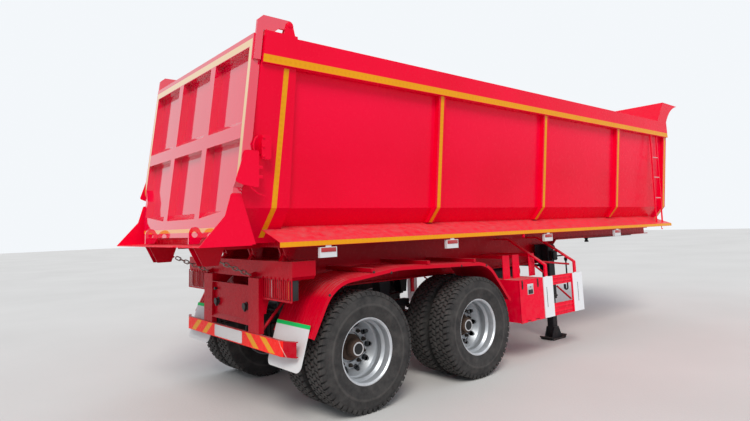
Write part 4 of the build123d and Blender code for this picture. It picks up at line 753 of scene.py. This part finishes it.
# ------------------------------------------------------------------ toolbox
# Welded sheet box with a drop-down door, shut by a chromed paddle latch and two dark hasps
# screwed over the door's upper edge.
toolbox_red = enamel("toolbox_red", dust=0.9, waves=0.002)
keep(toolbox_red, "toolbox", "toolbox_door")
chrome = Finish("chromed_latch", Metallic=1.0, Base_Color=(0.72, 0.73, 0.74))
chrome.set("Roughness", 0.14 + chrome.noise(50, 3) * 0.15)
chrome.bumps((chrome.noise(200, 1), 0.0001))
door_y = -1.239
latch = Shape()
latch.block((axle_x + 2.470, axle_x + 2.594), (door_y - 0.0035, door_y + 0.0002), (0.790, 0.915),
            0.0015)
latch.block((axle_x + 2.478, axle_x + 2.586), (door_y - 0.006, door_y - 0.003), (0.850, 0.909),
            0.0025)
for dx, z in ((2.477, 0.797), (2.587, 0.797), (2.477, 0.908), (2.587, 0.908)):
    latch.turned([(0.0035, door_y - 0.003), (0.0035, door_y - 0.005), (0.002, door_y - 0.0056)],
                 (axle_x + dx, 0, z), "y", 12)
latch.done("toolbox_latch", chrome, "toolbox_door", "chrome_rod")
paddle = Shape()
paddle.block((axle_x + 2.488, axle_x + 2.576), (door_y - 0.0085, door_y - 0.003), (0.796, 0.846),
             0.003)
paddle.turned([(0.008, door_y - 0.005), (0.008, door_y - 0.008), (0.006, door_y - 0.0095)],
              (axle_x + 2.532, 0, 0.878), "y", 20)
paddle.done("toolbox_paddle", housing, "toolbox_door", "black_paint")
hasps = Shape()
for dx in (2.372, 2.693):
    hasps.block((axle_x + dx - 0.012, axle_x + dx + 0.012), (door_y - 0.004, door_y + 0.0002),
                (0.862, 0.966), 0.0015)
    hasps.bar([(axle_x + dx - 0.007, door_y - 0.005, 0.952),
               (axle_x + dx - 0.007, door_y - 0.0075, 0.885),
               (axle_x + dx + 0.007, door_y - 0.0075, 0.885),
               (axle_x + dx + 0.007, door_y - 0.005, 0.952)], 0.0025, 8)
hasps.done("toolbox_hasps", dark_steel, "toolbox_door", "spring_steel")

# ------------------------------------------------------------------ side guards
# Pressed rails between white end panels, hung from bent tubes. Round braces hold them off the
# frame. Red enamel with road dust, the panels painted white before fitting.


def white_panels(finish):
    x, y, z = finish.xyz()
    ahead = x - axle_x
    panel = ahead.between(2.810, 3.0175).most(ahead.between(3.488, 3.727))
    return panel * y.size().rise(1.2312, 1.2318) * z.between(0.470, 0.975), (0.80, 0.82, 0.84)


guard_red = enamel("side_guard_red", dust=0.7, waves=0.001, marks=(white_panels,))
keep(guard_red, "side_guard_left", "side_guard_right")
braces = Shape()
for side in (-1, 1):
    for start, end in (((3.166, 1.208, 0.826), (3.470, 1.208, 0.640)),
                       ((2.872, 1.100, 1.098), (2.960, 1.198, 0.985)),
                       ((2.932, 1.150, 1.150), (3.502, 1.195, 1.085))):
        braces.bar([(axle_x + start[0], side * start[1], start[2]),
                    (axle_x + end[0], side * end[1], end[2])], 0.0125, 14)
braces.done("side_guard_braces", shade_red, "chassis", "red_paint")
# Painted shade: dark rubber strips fill the guards' slots, where the open slots show only shade.
slots = Shape()
for side in (-1, 1):
    for dx in (2.875, 3.603):
        slots.block((axle_x + dx - 0.0065, axle_x + dx + 0.0065),
                    sorted((side * 1.2375, side * 1.2440)),
                    (0.600, 0.845), 0.002)
slots.done("side_guard_slot_seals", rubber, "chassis", "tyre_rubber")

# ------------------------------------------------------------------ tub
# Thin sheet walls, welded seam to seam, with pressed stakes, a box rail on top and a ledge
# below. Bright red gloss enamel in soft waves, edged with yellow light-catching tape.
tape_low, tape_high = 3.080, 3.150
stakes_at = (1.165, 3.200, 5.235, 6.945)
# Paler red for the walls' upper panels: a painted reflection of the sky.
SKY_REFLECTION_RED = (1.0, 0.004, 0.055)


def tape_pattern(finish):
    """Tape colour: small pressed squares, a little duller here and there."""
    x, _, z = finish.xyz()
    cells = x.wave(20) * z.wave(20)
    return finish.blend(cells * 0.25 + finish.noise(3, 4) * 0.3, TAPE, (0.62, 0.20, 0.006))


def outer_side(finish, steepness=0.3):
    """1 on faces that look outward from the middle plane, 0 on those that look into the tub."""
    return (finish.xyz()[1] * finish.facing()[1]).rise(steepness, steepness + 0.05)


def rail_tape(finish):
    z = finish.xyz()[2]
    return z.between(tape_low, tape_high) * outer_side(finish, 1.0), tape_pattern(finish)


def stake_tape(finish):
    x, _, z = finish.xyz()
    mask = None
    for at in stakes_at:
        one = (x - axle_x).between(at - 0.025, at + 0.025)
        mask = one if mask is None else mask.most(one)
    return mask * outer_side(finish) * z.rise(1.600, 1.602), tape_pattern(finish)


def post_tape(finish):
    x, _, z = finish.xyz()
    line = (x - axle_x + (3.060 - z) * 0.046).between(-0.855, -0.805)
    rail = z.between(tape_low, tape_high) * outer_side(finish, 1.0)
    line = line * outer_side(finish) * (1 - z.rise(3.060, 3.062)) * z.rise(1.600, 1.602)
    return line.most(rail), tape_pattern(finish)


def ledge_tape(finish):
    z = finish.xyz()[2]
    return z.between(1.518, 1.559) * outer_side(finish, 1.0), tape_pattern(finish)


def painted_sky_reflection(finish):
    """Painted reflection: the upper panels are painted a paler red, as if they caught a paler sky
    than the lower ones.
    """
    z = finish.xyz()[2]
    return (z.rise(2.3, 2.9) * (1 - z.rise(2.95, 3.06)) * 0.55).held(), SKY_REFLECTION_RED


wall_red = enamel("wall_enamel", waves=0.008, marks=(painted_sky_reflection,))
rail_red = enamel("rail_enamel", waves=0.002, marks=(rail_tape,))
stake_red = enamel("stake_enamel", waves=0.001, marks=(stake_tape,))
post_red = enamel("post_enamel", waves=0.001, marks=(post_tape,))
ledge_red = enamel("ledge_enamel", waves=0.001, marks=(ledge_tape,))
keep(wall_red, "side_wall_left", "side_wall_right", "front_wall", "tub_floor")
keep(red, "cylinder_housing", "lift_bracket", "front_visor", "tail_chute")
keep(shade_red, "tub_subframe", "tub_cross_members", "gate_hooks")
keep(rail_red, "top_rail_left", "top_rail_right")
keep(stake_red, "side_stakes_left", "side_stakes_right")
keep(post_red, "rear_post_left", "rear_post_right")
keep(ledge_red, "side_ledge_left", "side_ledge_right")

seams = Shape()
for side in (-1, 1):
    seams.bar([(axle_x - 0.730, side * 1.247, 3.085), (axle_x - 0.730, side * 1.247, 3.330)],
              0.0028, 8)
    seams.bar([(axle_x - 0.700, side * 1.2445, 3.3395), (axle_x + 6.620, side * 1.2445, 3.3395)],
              0.004, 8)
    seams.bar([(axle_x - 0.700, side * 1.215, 3.0745), (axle_x + 6.890, side * 1.215, 3.0745)],
              0.004, 8)
seams.done("rail_weld_beads", red, "tub", "red_paint")

brackets = Shape()
for side in (-1, 1):
    brackets.block((axle_x + 2.462, axle_x + 2.480), sorted((side * 1.215, side * 1.247)),
                   (1.475, 1.516), 0.002)
    brackets.bar([(axle_x + 6.40, side * 1.235, 1.5165), (axle_x + 6.40, side * 1.235, 1.480),
                  (axle_x + 6.418, side * 1.235, 1.468), (axle_x + 6.436, side * 1.235, 1.480)],
                 0.006, 10)
brackets.done("ledge_hooks", red, "tub", "red_paint")

# ------------------------------------------------------------------ marker lamps
# Small moulded lamps under the ledge on white housings, each with a red lens over its upper half.
marker_white = enamel("marker_housing", (0.70, 0.71, 0.72), (0.62, 0.63, 0.64), 0.35, 0.0002, 0.3)
keep(marker_white, "marker_lamps")
lamps_at = (-0.440, 1.175, 3.000, 4.840)
marks = Shape()
for side in (-1, 1):
    for at in lamps_at:
        marks.block((axle_x + at - 0.080, axle_x + at + 0.080),
                    sorted((side * 1.243, side * 1.2495)), (1.457, 1.495), 0.0025)
marks.done("marker_lenses", lenses["red"], "tub", "lamp_plastic")

# ------------------------------------------------------------------ post fittings
# Bolts of the latch plates, bent straps, short brackets and rods of the lock, and the hinge
# pins' heads, welded to the rear posts and painted red with them.
fittings = Shape()
for side in (-1, 1):
    for x, z in ((-1.055, 2.275), (-1.055, 2.355), (-1.055, 2.435)):
        fittings.turned([(0.011, side * 1.205), (0.012, side * 1.207), (0.012, side * 1.213),
                         (0.009, side * 1.216)],
                        (axle_x + x, 0, z), "y", 6)
    fittings.bar([(axle_x - 1.120, side * 1.201, 2.300), (axle_x - 1.150, side * 1.216, 2.330),
                  (axle_x - 1.155, side * 1.220, 2.375), (axle_x - 1.135, side * 1.216, 2.420),
                  (axle_x - 1.105, side * 1.201, 2.440)], 0.008, 10)
    fittings.block((axle_x - 1.128, axle_x - 1.062), sorted((side * 1.196, side * 1.212)),
                   (2.085, 2.115), 0.003)
    fittings.block((axle_x - 1.128, axle_x - 1.062), sorted((side * 1.196, side * 1.212)),
                   (2.165, 2.195), 0.003)
    fittings.bar([(axle_x - 1.215, side * 1.203, 2.075), (axle_x - 1.170, side * 1.206, 2.010),
                  (axle_x - 1.110, side * 1.206, 1.965), (axle_x - 1.035, side * 1.203, 1.940)],
                 0.006, 10)
    fittings.turned([(0.026, side * 1.2375), (0.026, side * 1.2400), (0.022, side * 1.2435),
                     (0.010, side * 1.2450)],
                    (axle_x - 0.805, 0, 3.458), "y", 24)
fittings.done("post_fittings", red, "tub", "red_paint")

# ------------------------------------------------------------------ tailgate
# Folded box frame with two rows of pressed panels between it, hung from arms at the top. Its
# enamel is polished like glass, with dust lines on its sills and cream tape along its edges.
CREAM = (0.84, 0.56, 0.27)


def back_side(finish):
    return (finish.facing()[0] * -1).rise(0.85, 0.93)


def gate_tapes(finish):
    _, y, z = finish.xyz()
    half = y.size()
    top = z.between(3.226, 3.290) * (1 - half.rise(1.189, 1.190))
    side = half.between(1.143, 1.189) * z.between(1.700, 3.290)
    # Painted shade: the tapes are orange low down and cream higher up.
    shade = finish.blend(z.rise(1.9, 2.9), (0.72, 0.30, 0.05), CREAM)
    return top.most(side) * back_side(finish), shade


def foot_tape(finish):
    _, y, z = finish.xyz()
    return z.between(1.662, 1.698) * (1 - y.size().rise(1.10, 1.102)) * back_side(finish), TAPE


gate_red = enamel("gate_enamel", (0.80, 0.0, 0.045), (0.74, 0.0, 0.038), 0.10, 0.003, 0.65,
                  (gate_tapes, foot_tape), Coat_Weight=1.0, Coat_Roughness=0.03, Coat_IOR=2.0)
keep(gate_red, "tailgate_panel", "tailgate_frame", "tailgate_arms", "lock_lugs")

# ------------------------------------------------------------------ ladder
# Welded from flat stiles and round rungs, paint worn pale where boots touch it.


def worn(finish):
    x, _, z = finish.xyz()
    rungs = z.between(1.975, 2.005).most(z.between(2.325, 2.355)).most(z.between(2.665, 2.695))
    return rungs * (x - axle_x).between(6.372, 6.573) * 0.6, (0.62, 0.50, 0.48)


ladder_red = enamel("ladder_enamel", waves=0.0005, marks=(worn,))
keep(ladder_red, "ladder")

# ------------------------------------------------------------------ lift cylinder
# Five-stage telescopic cylinder on trunnions, its barrel painted like the tub and its stages
# ground and hard chromed. A screwed steel collar closes the barrel's mouth.
rod = Finish("chromed_rod", Metallic=1.0, Base_Color=(0.74, 0.75, 0.77))
film = rod.noise(6, 4, 0.6, (1, 1, 0.2))
rod.set("Roughness", 0.10 + film * 0.18)
rod.bumps((rod.noise(300, 1, 0.5, (1, 1, 0.05)), 0.00006))
keep(red, "cylinder_barrel")
for i in range(1, 6):
    keep(rod, f"cylinder_stage_{i}")
low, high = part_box("cylinder_barrel")
middle_x = (low.x + high.x) / 2
ring = Shape()
for z in (high.z - 0.040, high.z - 0.022):
    ring.turned([(0.0905, z), (0.0955, z + 0.002), (0.0955, z + 0.010), (0.0905, z + 0.012)],
                (middle_x, 0, 0), "z", 48)
for k in range(8):
    a = 2 * pi * k / 8
    ring.turned([(0.0045, high.z - 0.0005), (0.0045, high.z + 0.003), (0.003, high.z + 0.004)],
                (middle_x + 0.0885 * cos(a), 0.0885 * sin(a), 0), "z", 6)
ring.done("cylinder_collar", steel, "cylinder_barrel", "spring_steel")

# ------------------------------------------------------------------ chains
# Short-link chains of bent and welded wire, dipped in zinc and gone dull grey-brown.
chain = Finish("galvanised_chain", Metallic=0.75)
wear = chain.noise(40, 4, 0.6)
chain.set("Base_Color", chain.blend(wear.rise(0.35, 0.7), (0.34, 0.33, 0.32), (0.20, 0.13, 0.09)))
chain.set("Roughness", 0.42 + wear * 0.3)
chain.bumps((chain.noise(250, 2), 0.0004))
keep(chain, "hook_chains")

low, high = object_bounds()
